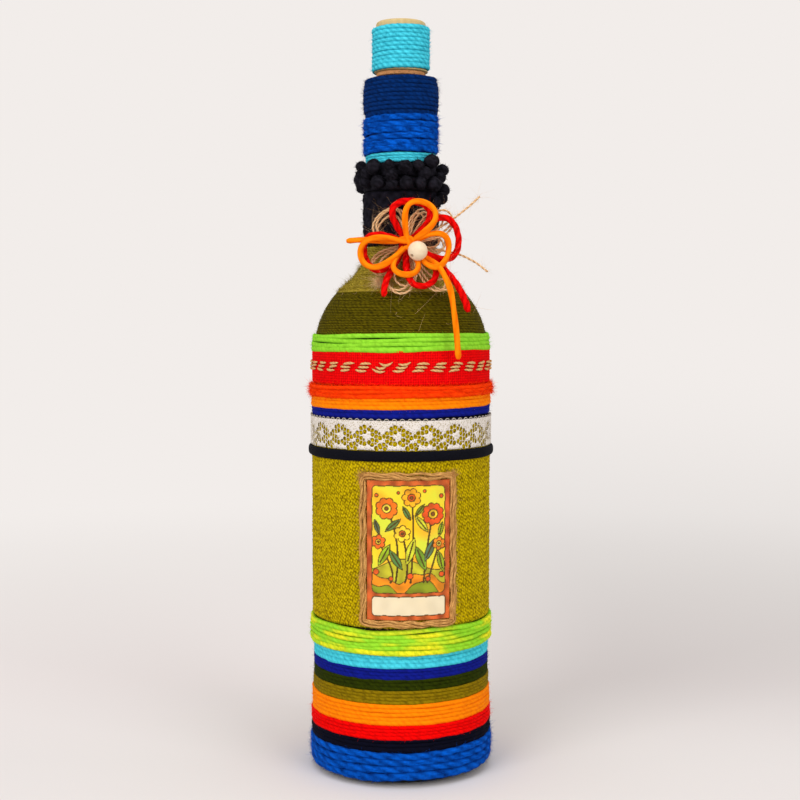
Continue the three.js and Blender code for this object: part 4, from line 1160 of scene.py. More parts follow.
def object_finish(slot, roughness, specular=0.2):
    """A material that reads Object coordinates, with its tree, its shader and that vector."""
    material = bpy.data.materials.new(slot)
    material.use_nodes = True
    tree = material.node_tree
    shader = tree.nodes["Principled BSDF"]
    shader.inputs["Roughness"].default_value = roughness
    shader.inputs["Specular IOR Level"].default_value = specular
    vector = tree.nodes.new("ShaderNodeTexCoord").outputs["Object"]
    return material, tree, shader, vector


print("helpers for turned pieces are ready")

# %% [markdown]
# The glass is a green that is almost black, and only its heel shows below the yarn. Its wall, its punt, its
# bore and its rounded lip are all there, because the piece is looked at from below and with the stopper out.

# %% Glass
glass, glass_tree, glass_shader, glass_vector = object_finish("dark_glass", 0.5, 0.05)
glass_shader.inputs["Transmission Weight"].default_value = 0.12
glass_shader.inputs["IOR"].default_value = 1.5
seeds = noise_node(glass_tree, glass_vector, 60.0, 2.0)
glass_tone = mix_node(glass_tree, seeds, colour(14, 17, 9), colour(30, 36, 18))
glass_tree.links.new(glass_tone, glass_shader.inputs["Base Color"])
add_bump(glass_tree, glass_shader, seeds, 0.06, 0.0004)
WALL, BASE, PUNT, RING, INNER_HEEL = 3.4, 5.0, 18.0, 4.5, 5.3
punt_radius = BODY - HEEL - RING


def quadratic(start, control, stop, count=10):
    t = np.linspace(0, 1, count)[:, None]
    start, control, stop = (np.array(p, float) for p in (start, control, stop))
    return (1 - t) ** 2 * start + 2 * t * (1 - t) * control + t**2 * stop


BORE, BORE_DEPTH, LIP = 9.25, 28, 1.0
lip_turn = np.linspace(0, math.pi, 13)
lip = np.stack([(MOUTH + BORE) / 2 + (MOUTH - BORE) / 2 * np.cos(lip_turn),
                GLASS_HEIGHT - LIP + LIP * np.sin(lip_turn)], -1)
glass_profile = np.concatenate([
    quadratic((0, PUNT), (punt_radius * 0.6, PUNT), (punt_radius, 0)),
    arc((BODY - HEEL, HEEL), HEEL, -math.pi / 2, 0, 12),
    arc((BODY - SHOULDER, SHOULDER_START), SHOULDER, 0, SHOULDER_ANGLE, 16),
    arc((NECK + FLARE, NECK_START), FLARE, math.pi + SHOULDER_ANGLE, math.pi, 12)[1:],
    [(NECK, FINISH_START), (MOUTH, FINISH_START + 1)],
    lip,
    [(BORE, GLASS_HEIGHT - BORE_DEPTH), (NECK - WALL, GLASS_HEIGHT - BORE_DEPTH - 10)],
    arc((NECK + FLARE, NECK_START), FLARE + WALL, math.pi, math.pi + SHOULDER_ANGLE, 12),
    arc((BODY - SHOULDER, SHOULDER_START), SHOULDER - WALL, SHOULDER_ANGLE, 0, 16)[1:],
    arc((BODY - WALL - INNER_HEEL, BASE + INNER_HEEL), INNER_HEEL, 0, -math.pi / 2, 8),
    quadratic((punt_radius, BASE), (punt_radius * 0.6, PUNT + BASE), (0, PUNT + BASE)),
])
settle(spin("bottle_glass", glass_profile, glass), "bottle", "dark_glass", "glass_bottle")

# %% [markdown]
# A black braid runs below the lace. It is a flat tape with soft round edges, so its section is a rounded
# strip, and its fine, uneven rib comes from a noise on Object coordinates.

# %% Braid
BRAID_HEIGHT = 4.4
braid_edge = lace_edge - GAP - BRAID_HEIGHT
braid_inner, braid_outer = BODY + burlap_off + 0.1, BODY + burlap_off + GAP + 1.0
braid_low, braid_high = (float(on_glass(braid_edge + up)[1]) for up in (0, BRAID_HEIGHT))
braid_middle = (braid_low + braid_high) / 2
braid_material, braid_tree, braid_shader, braid_vector = object_finish("black_braid", 0.8, 0.05)
rib = noise_node(braid_tree, braid_vector, 1400.0, 2.0)
braid_tone = mix_node(braid_tree, rib, colour(5, 5, 9), colour(18, 19, 28))
braid_tree.links.new(braid_tone, braid_shader.inputs["Base Color"])
add_bump(braid_tree, braid_shader, rib, 0.5, 0.0003)
braid_face = [(braid_outer - 0.75 * abs(s) ** 5 + 0.25 * math.cos(s * 1.4), braid_middle + 2.2 * s)
              for s in np.linspace(-1, 1, 13)]
braid_profile = [(braid_inner, braid_low + 0.1), *braid_face, (braid_inner, braid_high - 0.1),
                 (braid_inner, braid_low + 0.1)]
braid = spin("black_braid_band", braid_profile, braid_material, 144)
settle(braid, "bottle", "black_ribbon", "black_braid")

# %% [markdown]
# The stopper is a cork shank with a collar over the lip, glued to a turned head of pale wood. Cork is brown
# with dark pits, from a Voronoi texture and noise. The wood has faint rings from a stretched noise.

# %% Stopper
cork, cork_tree, cork_shader, cork_vector = object_finish("cork", 0.85)
pits = cork_tree.nodes.new("ShaderNodeTexVoronoi")
pits.inputs["Scale"].default_value = 700
cork_tree.links.new(cork_vector, pits.inputs["Vector"])
grain = noise_node(cork_tree, cork_vector, 300.0, 4.0)
cork_tone = mix_node(cork_tree, grain, colour(136, 66, 26), colour(255, 190, 126))
pit_mask = math_node(cork_tree, "LESS_THAN", pits.outputs["Distance"], 0.22)
pit_mask = math_node(cork_tree, "MULTIPLY", pit_mask, 0.45)
pitted = mix_node(cork_tree, pit_mask, cork_tone, colour(62, 36, 14))
cork_tree.links.new(pitted, cork_shader.inputs["Base Color"])
add_bump(cork_tree, cork_shader, pits.outputs["Distance"], 0.5, 0.0006)
collar_low, head_low, head_top = GLASS_HEIGHT + GAP, 304.0, 325.8
shank_profile = [
    (0, 278.5), (7.5, 278.5), (8.4, 278.8), (9.0, 280), (9.0, collar_low), (9.8, collar_low + 0.2),
    (10.5, collar_low + 0.5), (10.7, collar_low + 1.0), (10.6, head_low - 0.2), (10.2, head_low),
    (0, head_low),
]
settle(spin("cork_shank", shank_profile, cork, 64), "stopper", "cork", "stopper_shank")
wood, wood_tree, wood_shader, wood_vector = object_finish("pale_wood", 0.6)
wood_map = wood_tree.nodes.new("ShaderNodeMapping")
wood_map.inputs["Scale"].default_value = (900, 160, 60)
wood_tree.links.new(wood_vector, wood_map.inputs["Vector"])
wood_grain = noise_node(wood_tree, wood_map.outputs["Vector"], 1.0, 4.0)
wood_tone = mix_node(wood_tree, wood_grain, colour(180, 151, 92), colour(213, 193, 143))
wood_tree.links.new(wood_tone, wood_shader.inputs["Base Color"])
add_bump(wood_tree, wood_shader, wood_grain, 0.25, 0.0003)
head_profile = [
    (0, head_low), (11.3, head_low), (11.7, head_low + 0.25), (11.7, head_low + 0.6), (11.4, head_low + 0.8),
    (HEAD_RADIUS, head_low + 0.9), (HEAD_RADIUS, head_top - 1.2), (10.5, head_top - 0.5),
    (9.9, head_top - 0.1), (9.2, head_top), (0, head_top),
]
settle(spin("wooden_head", head_profile, wood, 96), "stopper", "pale_wood", "stopper_head")

# %% [markdown]
# The bead is a pale ball with a small drilled hole. Its section runs from the rim of the hole over the ball
# to the other rim and back through the hole, and the spun bead is turned so that the hole looks down to the
# left. It sits on the orange cord.

# %% Bead
bead_material, bead_tree, bead_shader, bead_vector = object_finish("bead_wood", 0.45)
bead_grain = noise_node(bead_tree, bead_vector, 500.0, 3.0)
bead_tone = mix_node(bead_tree, bead_grain, colour(216, 192, 156), colour(241, 222, 192))
bead_tree.links.new(bead_tone, bead_shader.inputs["Base Color"])
add_bump(bead_tree, bead_shader, bead_grain, 0.1, 0.0002)
BEAD_RADIUS, HOLE_RADIUS = 4.1, 0.8
rim = math.asin(HOLE_RADIUS / BEAD_RADIUS)
bead_arc = arc((0, 0), BEAD_RADIUS, -math.pi / 2 + rim, math.pi / 2 - rim, 24)
bead_profile = [*bead_arc, (HOLE_RADIUS, BEAD_RADIUS * 0.4), (HOLE_RADIUS, -BEAD_RADIUS * 0.4), bead_arc[0]]
bead = spin("bow_bead", bead_profile, bead_material, 40)
bead.rotation_euler = (math.radians(-38), math.radians(50), 0)
bead_low, bead_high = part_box("bead")
bead.location = (bead_low + bead_high) / 2
bpy.ops.object.transform_apply(location=True, rotation=True, scale=True)
settle(bead, "bottle", "bead_wood", "bead")

# %% [markdown]
# Pompom trim
#
# Two rows of soft black balls sit on knitted tape. A pompom could be a particle system, but hair particles
# don't leave the program as a mesh, so each pompom is an uneven ball of its own with short pile all over it,
# and no two have the same lumps.

# %% One pompom
def ball(centre, radius, generator, pile=170):
    """An uneven ball of rings and two poles, and the pile on it, in mm."""
    bands, sectors = 9, 14
    theta = np.linspace(0, np.pi, bands + 2)[1:-1]
    phi = np.arange(sectors) * 2 * np.pi / sectors
    direction = np.stack([np.sin(theta)[:, None] * np.cos(phi), np.sin(theta)[:, None] * np.sin(phi),
                          np.cos(theta)[:, None] + 0 * phi], -1).reshape(-1, 3)
    direction = np.concatenate([direction, [[0, 0, 1.0], [0, 0, -1.0]]])
    squash = generator.uniform(0.9, 1.12, 3)
    lumps = 1 + 0.06 * np.sin(direction @ generator.normal(size=(3, 1)) * 4 + generator.uniform(0, 6))
    surface = centre + radius * squash * direction * lumps
    row, column = np.arange(bands - 1)[:, None] * sectors, np.arange(sectors)[None, :]
    beside = (column + 1) % sectors
    below = row + sectors
    quads = np.stack([row + column, below + column, below + beside, row + beside], -1).reshape(-1, 4)
    ring, last = np.arange(sectors), (bands - 1) * sectors
    top = np.stack([ring * 0 + bands * sectors, ring, np.roll(ring, -1)], -1)
    bottom = np.stack([ring * 0 + bands * sectors + 1, last + np.roll(ring, -1), last + ring], -1)
    tris = np.concatenate([top, bottom])
    crest = np.clip(0.45 + 0.35 * generator.normal(size=len(surface)), 0, 1)
    flat_place = 2 * surface[:, :2]
    core = {"points": surface, "crest": crest, "quads": quads, "quad_uv": flat_place[quads], "tris": tris,
            "tri_uv": flat_place[tris]}
    heading = unit(generator.normal(size=(pile, 3)))
    roots = centre + radius * 0.9 * squash * heading
    curl = 0.35 * generator.normal(size=(pile, 3))
    hair = fibres(roots, heading, curl, generator.uniform(0.5, 1.15, pile), 0.08, 0.5)
    return [core, hair]


print("pompoms can be made")

# %% [markdown]
# At the front the balls could be spread by chance, but their uneven rows are easy to see on the bottle, so
# each one's place and size is listed. The back isn't seen, and there they are spread about evenly.

# %% Rows of pompoms
TAPE_THICKNESS = 2.0
UPPER_FRONT = [
    (-71, 263.1, 2.7), (-90, 260.5, 2.2), (-39, 262.2, 3.4), (-54, 259.8, 2.8), (-12, 258.6, 3.0),
    (-16, 262.4, 2.8), (6, 261.8, 3.1), (45, 264.7, 3.2), (80, 261.9, 2.9), (33, 259.3, 3.1),
    (24, 262.6, 2.7),
]
LOWER_FRONT = [
    (-81, 257.5, 2.7), (-32, 255.6, 3.1), (-58, 256.0, 2.8), (7, 255.3, 3.1), (48, 255.0, 3.4),
    (90, 253.6, 3.0), (70, 258.3, 2.6), (28, 255.4, 2.8), (-12, 254.8, 2.6), (76, 249.6, 2.8),
    (58, 247.2, 2.6),
]


def pompom_row(name, node, edge, front, seed):
    """A tape with its balls, which are (degrees from the front, height, radius)."""
    generator = seeded(seed)
    height = float(on_glass(edge + 2.8)[1])
    back = []
    for degrees in np.linspace(112, 248, 7):
        place = (degrees + generator.normal() * 3, height + generator.normal() * 0.7)
        back.append((*place, 3.0 * generator.uniform(0.9, 1.12)))
    parts = []
    for degrees, up, radius in front + back:
        azimuth = math.radians(degrees)
        reach = NECK + GAP + 0.9 + radius
        centre = np.array([reach * math.sin(azimuth), -reach * math.cos(azimuth), up])
        parts += ball(centre, radius * 0.94, generator)
    balls = settle(make_piece(name, parts, FINISHES["black_pompom"]), "bottle", "black_pompom")
    band(name + "_tape", edge, edge + TAPE_HEIGHT, TAPE_THICKNESS, 0.7, knit, "black_pompom", node, seed + 1)
    print(name, "with", len(balls.data.polygons), "faces")


pompom_row("pompoms_upper", "pompom_trim_upper", neck_edge - GAP - TAPE_HEIGHT, UPPER_FRONT, 51)
pompom_row("pompoms_lower", "pompom_trim_lower", tape_edge, LOWER_FRONT, 61)

# %% [markdown]
# The card
#
# A printed card is glued on the burlap, bent to the bottle. Its paint is kept as a colour attribute on the
# points of a fine grid, so it needs no picture file.

# %% Card
CARD_WIDTH, CARD_RADIUS, CARD_AZIMUTH = 35.0, 39.5, math.radians(4.8)
card_low, card_high = (c.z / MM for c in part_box("picture_card"))
card_height = card_high - card_low
bpy.ops.object.select_all(action="DESELECT")
bpy.ops.mesh.primitive_grid_add(x_subdivisions=146, y_subdivisions=244, size=1)
card = bpy.context.object
card.name = "printed_card"
place = np.zeros(len(card.data.vertices) * 3, np.float32)
card.data.vertices.foreach_get("co", place)
place = place.reshape(-1, 3).astype(float)
x, y = place[:, 0] * CARD_WIDTH, (place[:, 1] + 0.5) * card_height
angle = CARD_AZIMUTH + x / CARD_RADIUS
bent = np.stack([CARD_RADIUS * np.sin(angle), -CARD_RADIUS * np.cos(angle), card_low + y], -1)
card.data.vertices.foreach_set("co", (bent * MM).astype(np.float32).ravel())
print("card", round(CARD_WIDTH, 1), "by", round(card_height, 1), "mm,", len(x), "points")

# %% [markdown]
# The card gets a plain design of its own: leaves and round blossoms over a warm wash. Every shape is a
# distance at each point of the grid, below 0 inside the shape, so it can be filled, and inked along its edge.

# %% Shapes on the card
def leaf(cx, cy, half_length, half_width, degrees):
    """Signed distance, roughly, to a pointed leaf, and that to its vein: below 0 inside."""
    a = math.radians(degrees)
    u = (x - cx) * math.cos(a) + (y - cy) * math.sin(a)
    v = -(x - cx) * math.sin(a) + (y - cy) * math.cos(a)
    blade = np.abs(v) - half_width * (1 - np.clip(np.abs(u) / half_length, 0, 2) ** 2)
    return blade, np.maximum(np.abs(v) - 0.16, np.abs(u) - half_length * 0.7)


def disc(cx, cy, radius):
    return np.hypot(x - cx, y - cy) - radius


def petals(cx, cy, count, reach, size):
    angles = 0.4 + np.arange(count) * 2 * math.pi / count
    return np.min([disc(cx + reach * math.cos(a), cy + reach * math.sin(a), size) for a in angles], axis=0)


def stem(foot, bend, top, width):
    line = quadratic(foot, bend, top, 150)
    return np.min(np.hypot(x[:, None] - line[:, 0], y[:, None] - line[:, 1]), axis=1) - width / 2


def clouds(seed, size):
    """A soft, seeded pattern from 0 to 1, like watercolour that ran."""
    generator = seeded(seed)
    total = np.zeros(len(x))
    for _ in range(7):
        a = generator.uniform(0, 2 * math.pi)
        way = x * math.cos(a) + y * math.sin(a)
        total += np.sin(way * generator.uniform(0.6, 1.6) / size + generator.uniform(0, 6))
    return np.clip(0.5 + total / 7, 0, 1)[:, None]


def rgb(*values):
    return np.array(colour(*values)[:3])


print("shapes can be drawn")

# %% [markdown]
# The wash, the hills, stems, leaves, blossoms and dots are painted one over the other.

# %% Paint the card
INK, INK_HALF, RUST = rgb(36, 18, 10), 0.2, rgb(150, 44, 20)
paint = rgb(255, 206, 10) + (rgb(214, 226, 60) - rgb(255, 206, 10)) * clouds(1, 3.0)
paint = paint + (rgb(252, 150, 20) - paint) * (clouds(2, 2.2) - 0.35).clip(0, 1)
near_ground = y - (18 + 2.0 * np.sin(x * 0.3) + 0.8 * np.sin(x * 0.71 + 1))
far_ground = y - (23.5 + 2.4 * np.sin(x * 0.21 + 2.2))
BLOSSOMS = [
    (-9.2, 47.0, 8, 3.1, 1.6, (250, 112, 16), (255, 226, 70)),
    (1.0, 51.5, 7, 2.6, 1.4, (255, 168, 24), (214, 62, 16)),
    (10.0, 44.5, 9, 3.3, 1.5, (234, 70, 20), (255, 204, 40)),
    (-2.8, 36.5, 6, 2.2, 1.35, (255, 214, 50), (230, 90, 20)),
    (12.6, 32.0, 6, 1.8, 1.1, (252, 132, 28), (255, 232, 90)),
    (-12.6, 33.0, 6, 1.9, 1.2, (240, 92, 24), (255, 216, 60)),
]
LEAVES = [
    (-10.2, 27.5, 5.2, 1.7, 62), (-5.4, 25.5, 5.0, 1.6, 122), (0.6, 29.0, 6.0, 1.8, 74),
    (4.9, 26.0, 5.6, 1.9, 112), (8.6, 29.5, 5.2, 1.6, 66), (13.4, 24.6, 4.6, 1.5, 104),
    (-6.6, 40.0, 4.2, 1.3, 40), (5.2, 40.5, 4.6, 1.4, 128), (4.4, 46.2, 3.2, 1.0, 52),
    (-13.2, 39.2, 3.4, 1.1, 108), (13.4, 38.0, 3.2, 1.1, 76), (-1.0, 45.0, 3.4, 1.1, 118),
]
DOTS = [
    (-13.4, 52.5, 0.8), (6.4, 54.2, 0.7), (13.6, 52.0, 0.9), (-4.4, 53.6, 0.6), (13.8, 19.0, 1.2),
    (-13.6, 20.4, 1.3), (-7.4, 17.6, 1.0), (7.8, 17.4, 1.1), (0.4, 18.6, 1.3),
]
GREENS = [rgb(150, 190, 30), rgb(70, 134, 70), rgb(212, 216, 50), rgb(104, 160, 40), rgb(60, 118, 96)]
SHAPES = [(far_ground, rgb(190, 186, 40)), (near_ground, rgb(246, 140, 14)),
          (near_ground + 4.0 + 1.2 * np.sin(x * 0.42 + 2), rgb(122, 142, 22))]
for cx, cy, *_ in BLOSSOMS:
    SHAPES.append((stem((cx * 0.6, 16), (cx * 0.5 + 2, cy - 14), (cx, cy), 0.5), rgb(86, 96, 20)))
for number, place_of_leaf in enumerate(LEAVES):
    blade, vein = leaf(*place_of_leaf)
    SHAPES += [(blade, GREENS[number % len(GREENS)]), (vein, INK)]
for cx, cy, count, reach, size, outer, inner in BLOSSOMS:
    SHAPES += [(petals(cx, cy, count, reach, size), rgb(*outer)), (disc(cx, cy, reach * 0.62), rgb(*inner)),
               (disc(cx, cy, reach * 0.26), rgb(120, 48, 14))]
SHAPES += [(disc(*dot), rgb(226, 70, 22)) for dot in DOTS]
for number, (distance, fill) in enumerate(SHAPES):
    tone = 0.62 + 0.6 * clouds(10 + number, 1.1)
    paint = np.where((distance < 0)[:, None], fill * tone, paint)
    paint = np.where((np.abs(distance + 0.05) < INK_HALF)[:, None], INK, paint)
print("shapes painted:", len(SHAPES))

# %% [markdown]
# A red-brown border with a dark line runs round the picture, and a panel at the foot stays bare.

# %% Border and panel
def rounded(half_width, low, high, corner):
    """Signed distance to a rectangle with round corners."""
    over_side = np.abs(x) - half_width + corner
    over_end = np.abs(y - (low + high) / 2) - (high - low) / 2 + corner
    over = np.stack([over_side, over_end], -1)
    return np.hypot(*np.maximum(over, 0).T) + np.minimum(over.max(axis=1), 0) - corner


picture = rounded(15.3, 11.4, card_height - 2.2, 1.9) + 0.12 * np.sin(y * 0.9 + x)
panel = rounded(15.4, 1.9, 9.9, 1.2) + 0.1 * np.sin(x * 1.1)
rust = RUST + (rgb(226, 96, 44) - RUST) * clouds(3, 0.8)
paint = np.where((picture > 0)[:, None], rust, paint)
paint = np.where((panel < 0)[:, None], rgb(236, 222, 190) * (0.9 + 0.1 * clouds(4, 1.5)), paint)
for edge in (picture, panel):
    paint = np.where((np.abs(edge) < INK_HALF)[:, None], INK, paint)
rgba = np.concatenate([np.clip(paint, 0, 1), np.ones((len(x), 1))], 1).astype(np.float32)
card.data.attributes.new("paint", "FLOAT_COLOR", "POINT").data.foreach_set("color", rgba.ravel())
print("paint on", len(rgba), "points")

# %% [markdown]
# The card's material puts the paint on slightly uneven paper, and a Solidify modifier gives the card its
# thickness, outwards from the burlap.

# %% Card material and thickness
card_material, card_tree, card_shader, card_vector = object_finish("printed_card", 0.5)
paint_node = card_tree.nodes.new("ShaderNodeAttribute")
paint_node.attribute_name = "paint"
paper = noise_node(card_tree, card_vector, 900.0, 3.0)
mottle = noise_node(card_tree, card_vector, 160.0, 3.0)
faded = math_node(card_tree, "MULTIPLY", mottle, 0.16)
card_tone = mix_node(card_tree, faded, paint_node.outputs["Color"], colour(236, 190, 70))
card_tree.links.new(card_tone, card_shader.inputs["Base Color"])
add_bump(card_tree, card_shader, paper, 0.15, 0.0002)
card_thickness = card.modifiers.new("thickness", "SOLIDIFY")
card_thickness.thickness = 1.0 * MM
card_thickness.offset = 1
bpy.context.view_layer.objects.active = card
bpy.ops.object.modifier_apply(modifier="thickness")
card.data.materials.append(card_material)
card.data.shade_smooth()
settle(card, "bottle", "printed_card", "picture_card")
print("card faces:", len(card.data.polygons))

# %% [markdown]
# The frame round the card is jute laid as six thin loose strands, glued down with its ends at the foot. The
# strands change places slowly along the way, are hairier than yarn, and fray at the two upper corners.

# %% Twine frame
FRAME_WIDTH, CORNER, STRANDS = 2.8, 1.6, 6
frame_half_w, frame_half_h = (CARD_WIDTH + FRAME_WIDTH) / 2 + 0.3, (card_height + FRAME_WIDTH) / 2 + 0.3
frame_middle = (card_low + card_high) / 2


def frame_route():
    """The way round the card from the middle of its foot, as flat points about 2 mm apart."""
    w, h, c = frame_half_w, frame_half_h, CORNER
    stops = [
        (-0.8, -h), (w - c, -h), (w - 0.3, -h + 0.3), (w, -h + c), (w, h - c), (w - 0.3, h - 0.3), (w - c, h),
        (c - w, h), (0.3 - w, h - 0.3), (-w, h - c), (-w, c - h), (0.3 - w, 0.3 - h), (c - w, -h), (0.8, -h),
    ]
    dense = []
    for (ax, ay), (bx, by) in zip(stops, stops[1:]):
        count = max(int(math.hypot(bx - ax, by - ay) / 2.0), 1)
        dense += [(ax + (bx - ax) * i / count, ay + (by - ay) * i / count) for i in range(count)]
    return np.array(dense + [stops[-1]])


flat_route = frame_route()
route_step = np.arange(len(flat_route))
flat_route += 0.25 * np.stack([np.sin(route_step * 0.9), np.cos(route_step * 1.3)], -1)
route_angle = CARD_AZIMUTH + flat_route[:, 0] / CARD_RADIUS
route_radius = CARD_RADIUS + 1.1
route = np.stack([route_radius * np.sin(route_angle), -route_radius * np.cos(route_angle),
                  frame_middle + flat_route[:, 1]], -1)
frame_line = smooth_line(route, 0.5)
frame_out = unit(frame_line * np.array([1.0, 1.0, 0.0]))
frame_along = unit(np.gradient(frame_line, axis=0))
frame_across = unit(np.cross(frame_out, frame_along))
frame_run = distance_along(frame_line)
frame_parts = []
for number in range(STRANDS):
    turn = 2 * math.pi * (number / STRANDS + frame_run / 80) + wander(frame_run, 30, 0.5, 73 + number)
    sideways, outwards = 1.05 * np.cos(turn)[:, None], 0.5 * np.sin(turn)[:, None]
    strand = frame_line + sideways * frame_across + outwards * frame_out
    strand_half = 0.5 * (1 + wander(frame_run, 9, 0.16, 83 + number))
    frame_parts.append(loft(strand, frame_across, frame_out, strand_half, strand_half, 7, 2, 11, 0.8, 0.4))
    frame_parts.append(hairs_on(strand, frame_across, frame_out, 0.5, 650, 2.8, 93 + number))
FRAYED = 130
corner_random = seeded(99)
for side, degrees in ((-1, 150), (1, 65)):
    corner_angle = CARD_AZIMUTH + side * frame_half_w / CARD_RADIUS
    corner = np.array([route_radius * math.sin(corner_angle), -route_radius * math.cos(corner_angle),
                       frame_middle + frame_half_h])
    swing = math.radians(degrees) + 0.5 * corner_random.normal(size=FRAYED)
    heading = np.stack([np.cos(swing), -0.15 + 0.2 * corner_random.normal(size=FRAYED), np.sin(swing)], -1)
    roots = corner + 0.6 * corner_random.normal(size=(FRAYED, 3))
    curls = 0.3 * corner_random.normal(size=(FRAYED, 3))
    frame_parts.append(fibres(roots, heading, curls, corner_random.uniform(1.2, 3.4, FRAYED), 0.05))
twine_frame = make_piece("card_frame", frame_parts, FINISHES["jute_twine"])
settle(twine_frame, "bottle", "jute_twine", "twine_frame")
print("frame twine", round(frame_run[-1], 1), "mm")

# %% [markdown]
# Stray fibres
#
# A few long golden hairs cling to the shoulder, and a tuft of frayed jute sticks out below the bow on the
# left. They are small, but they are what makes the wrapping look handled.

# %% Stray fibres
stray_random = seeded(81)
count = 26
stray_along = stray_random.uniform(shoulder_edge + 8, neck_ribbon_edge - 2, count)
mostly_right = np.where(stray_random.uniform(size=count) < 0.6, 0.6, 0.0)
stray_turn = mostly_right + 0.5 * stray_random.normal(size=count)
stray_roots, stray_across, stray_out = lay(on_glass, stray_along, stray_turn, np.full(count, 1.0))
stray_heading = stray_across * stray_random.normal(size=(count, 1)) + 0.25 * stray_out
stray_heading += 0.5 * np.stack([stray_random.normal(size=count), np.zeros(count), np.zeros(count)], -1)
strays = fibres(stray_roots, stray_heading, 0.55 * stray_random.normal(size=(count, 3)),
                stray_random.uniform(3, 8, count), 0.055, 0.7, 6)
tuft_root = np.array(bow_point(-11, -16, 9.0))
tuft_count = 320
tuft_heading = np.array([-1.0, -0.15, -0.25]) + 0.45 * stray_random.normal(size=(tuft_count, 3))
tuft_roots = tuft_root + 0.5 * stray_random.normal(size=(tuft_count, 3))
tuft_curls = 0.5 * stray_random.normal(size=(tuft_count, 3))
tuft = fibres(tuft_roots, tuft_heading, tuft_curls, stray_random.uniform(1.6, 5.5, tuft_count), 0.06, 0.9)
settle(make_piece("stray_fibres", [strays, tuft], FINISHES["bow_jute"]), "bottle", "jute_twine")
print("stray hairs:", count + tuft_count)

# %% [markdown]
# Floor and background
#
# The bottle stands on a wide pale floor. A backdrop behind it would hide the bottle from a camera at the
# back, so the floor fades with distance into the colour that the camera sees all round. Its colour holds
# painted shade: a little darker in front of the bottle than behind it, and a little grey in the corner
# behind the bottle on the right, as the paper in the picture is.

# %% Stage
BACKGROUND = colour(242, 237, 234)


def background_rays(tree):
    """1 for a ray that shows the background: straight from the camera, or by way of gloss or glass."""
    path = tree.nodes.new("ShaderNodeLightPath")
    mirrored = math_node(tree, "ADD", path.outputs["Is Camera Ray"], path.outputs["Is Glossy Ray"])
    return math_node(tree, "ADD", mirrored, path.outputs["Is Transmission Ray"], clamp=True)


bpy.ops.object.select_all(action="DESELECT")
bpy.ops.mesh.primitive_plane_add(size=60)
floor = bpy.context.object
floor.name = "paper_floor"
paper_material, paper_tree, paper_shader, paper_vector = object_finish("floor_paper", 0.95, 0.0)
where = paper_tree.nodes.new("ShaderNodeSeparateXYZ")
paper_tree.links.new(paper_vector, where.inputs["Vector"])
# Painted shade: the paper is a little darker in front of the bottle than behind it.
shade_ramp = paper_tree.nodes.new("ShaderNodeValToRGB")
ramp_steps = shade_ramp.color_ramp.elements
ramp_steps[0].position = 0.4
ramp_steps[0].color = colour(226, 222, 221)
ramp_steps[1].position = 0.9
ramp_steps[1].color = colour(236, 232, 230)
ramp_steps.new(0.54).color = colour(231, 225, 224)
paper_tree.links.new(math_node(paper_tree, "ADD", where.outputs["Y"], 0.4), shade_ramp.inputs["Fac"])
# Painted shade: the paper greys in the corner behind the bottle on the right, less and less with distance.
right_side = fade(paper_tree, where.outputs["X"], -0.05, 0.15)
nearness = math_node(paper_tree, "DIVIDE", 1.0, math_node(paper_tree, "ADD", where.outputs["Y"], 0.63))
behind = math_node(paper_tree, "MULTIPLY", fade(paper_tree, where.outputs["Y"], -0.02, 0.16),
                   fade(paper_tree, nearness, 0.1, 1.15))
beside = math_node(paper_tree, "DIVIDE", 1.0, math_node(paper_tree, "ADD", where.outputs["X"], 0.63))
near_corner = math_node(paper_tree, "MULTIPLY", behind, fade(paper_tree, beside, 0.1, 1.15))
CORNER_SHADE_DEPTH = 0.15
corner_shade_weight = math_node(paper_tree, "MULTIPLY", right_side, near_corner)
corner_shade = math_node(paper_tree, "MULTIPLY", corner_shade_weight, CORNER_SHADE_DEPTH)
paper_tone = mix_node(paper_tree, corner_shade, shade_ramp.outputs["Color"], colour(0, 0, 0))
paper_tree.links.new(paper_tone, paper_shader.inputs["Base Color"])
distance = paper_tree.nodes.new("ShaderNodeVectorMath")
distance.operation = "LENGTH"
paper_tree.links.new(paper_vector, distance.inputs[0])
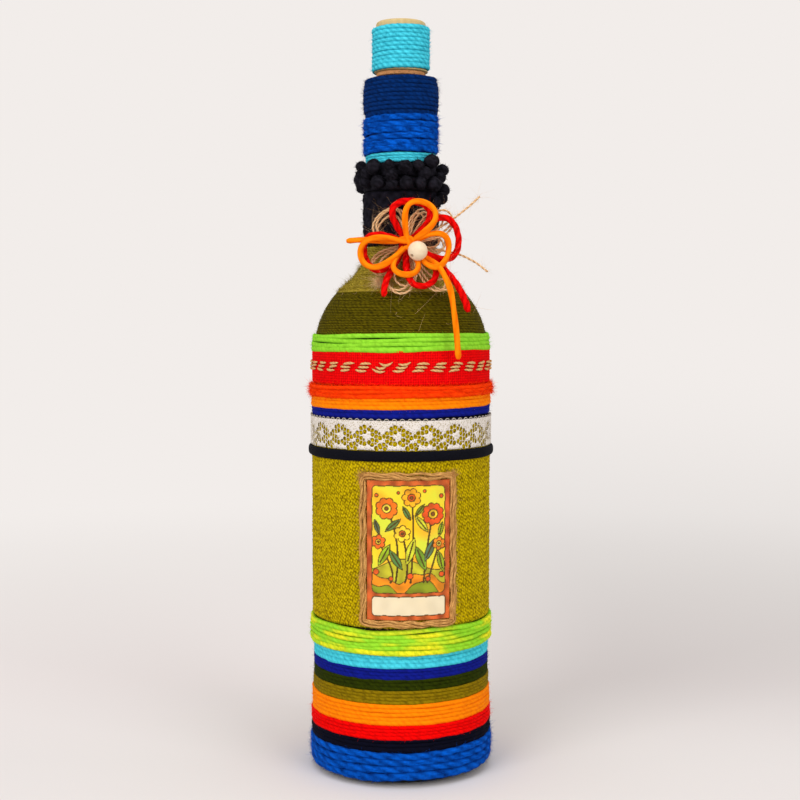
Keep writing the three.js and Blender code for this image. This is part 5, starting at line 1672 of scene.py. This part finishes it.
far_off = math_node(paper_tree, "MULTIPLY", fade(paper_tree, distance.outputs["Value"], 0.15, 0.9),
                    background_rays(paper_tree))
haze = paper_tree.nodes.new("ShaderNodeEmission")
# The haze far off gets the same painted corner shade.
paper_tree.links.new(mix_node(paper_tree, corner_shade, BACKGROUND, colour(0, 0, 0)), haze.inputs["Color"])
blend_out = paper_tree.nodes.new("ShaderNodeMixShader")
paper_tree.links.new(far_off, blend_out.inputs["Fac"])
paper_tree.links.new(paper_shader.outputs["BSDF"], blend_out.inputs[1])
paper_tree.links.new(haze.outputs["Emission"], blend_out.inputs[2])
surface_out = next(node for node in paper_tree.nodes if node.type == "OUTPUT_MATERIAL")
paper_tree.links.new(blend_out.outputs["Shader"], surface_out.inputs["Surface"])
floor.data.materials.append(paper_material)
print("floor material:", len(paper_tree.nodes), "nodes")

# %% [markdown]
# Light
#
# Two large soft lamps in front, one above, and a pale world give even light, at a level where a colour looks
# about as it is written. The world is brighter to the camera and in reflections than it is as a light.

# %% Lamps and world
def soft_lamp(name, place, size, energy, aim=(0, 0, 0.16)):
    lamp_data = bpy.data.lights.new(name, "AREA")
    lamp_data.shape = "SQUARE"
    lamp_data.size = size
    lamp_data.energy = energy
    lamp = bpy.data.objects.new(name, lamp_data)
    bpy.context.scene.collection.objects.link(lamp)
    lamp.location = place
    direction = lamp.location - Vector(aim)
    lamp.rotation_euler = direction.to_track_quat("Z", "Y").to_euler()


soft_lamp("lamp_left", (-1.0, -1.4, 1.0), 1.0, 15.5)
soft_lamp("lamp_right", (1.1, -1.3, 0.9), 1.0, 10)
soft_lamp("lamp_top", (0, -0.3, 1.9), 1.4, 12)
world = bpy.data.worlds.new("studio")
bpy.context.scene.world = world
world.use_nodes = True
sky = world.node_tree.nodes["Background"]
sky.inputs["Color"].default_value = BACKGROUND
AMBIENT = 0.6
extra = math_node(world.node_tree, "MULTIPLY", background_rays(world.node_tree), 1 - AMBIENT)
world.node_tree.links.new(math_node(world.node_tree, "ADD", extra, AMBIENT), sky.inputs["Strength"])
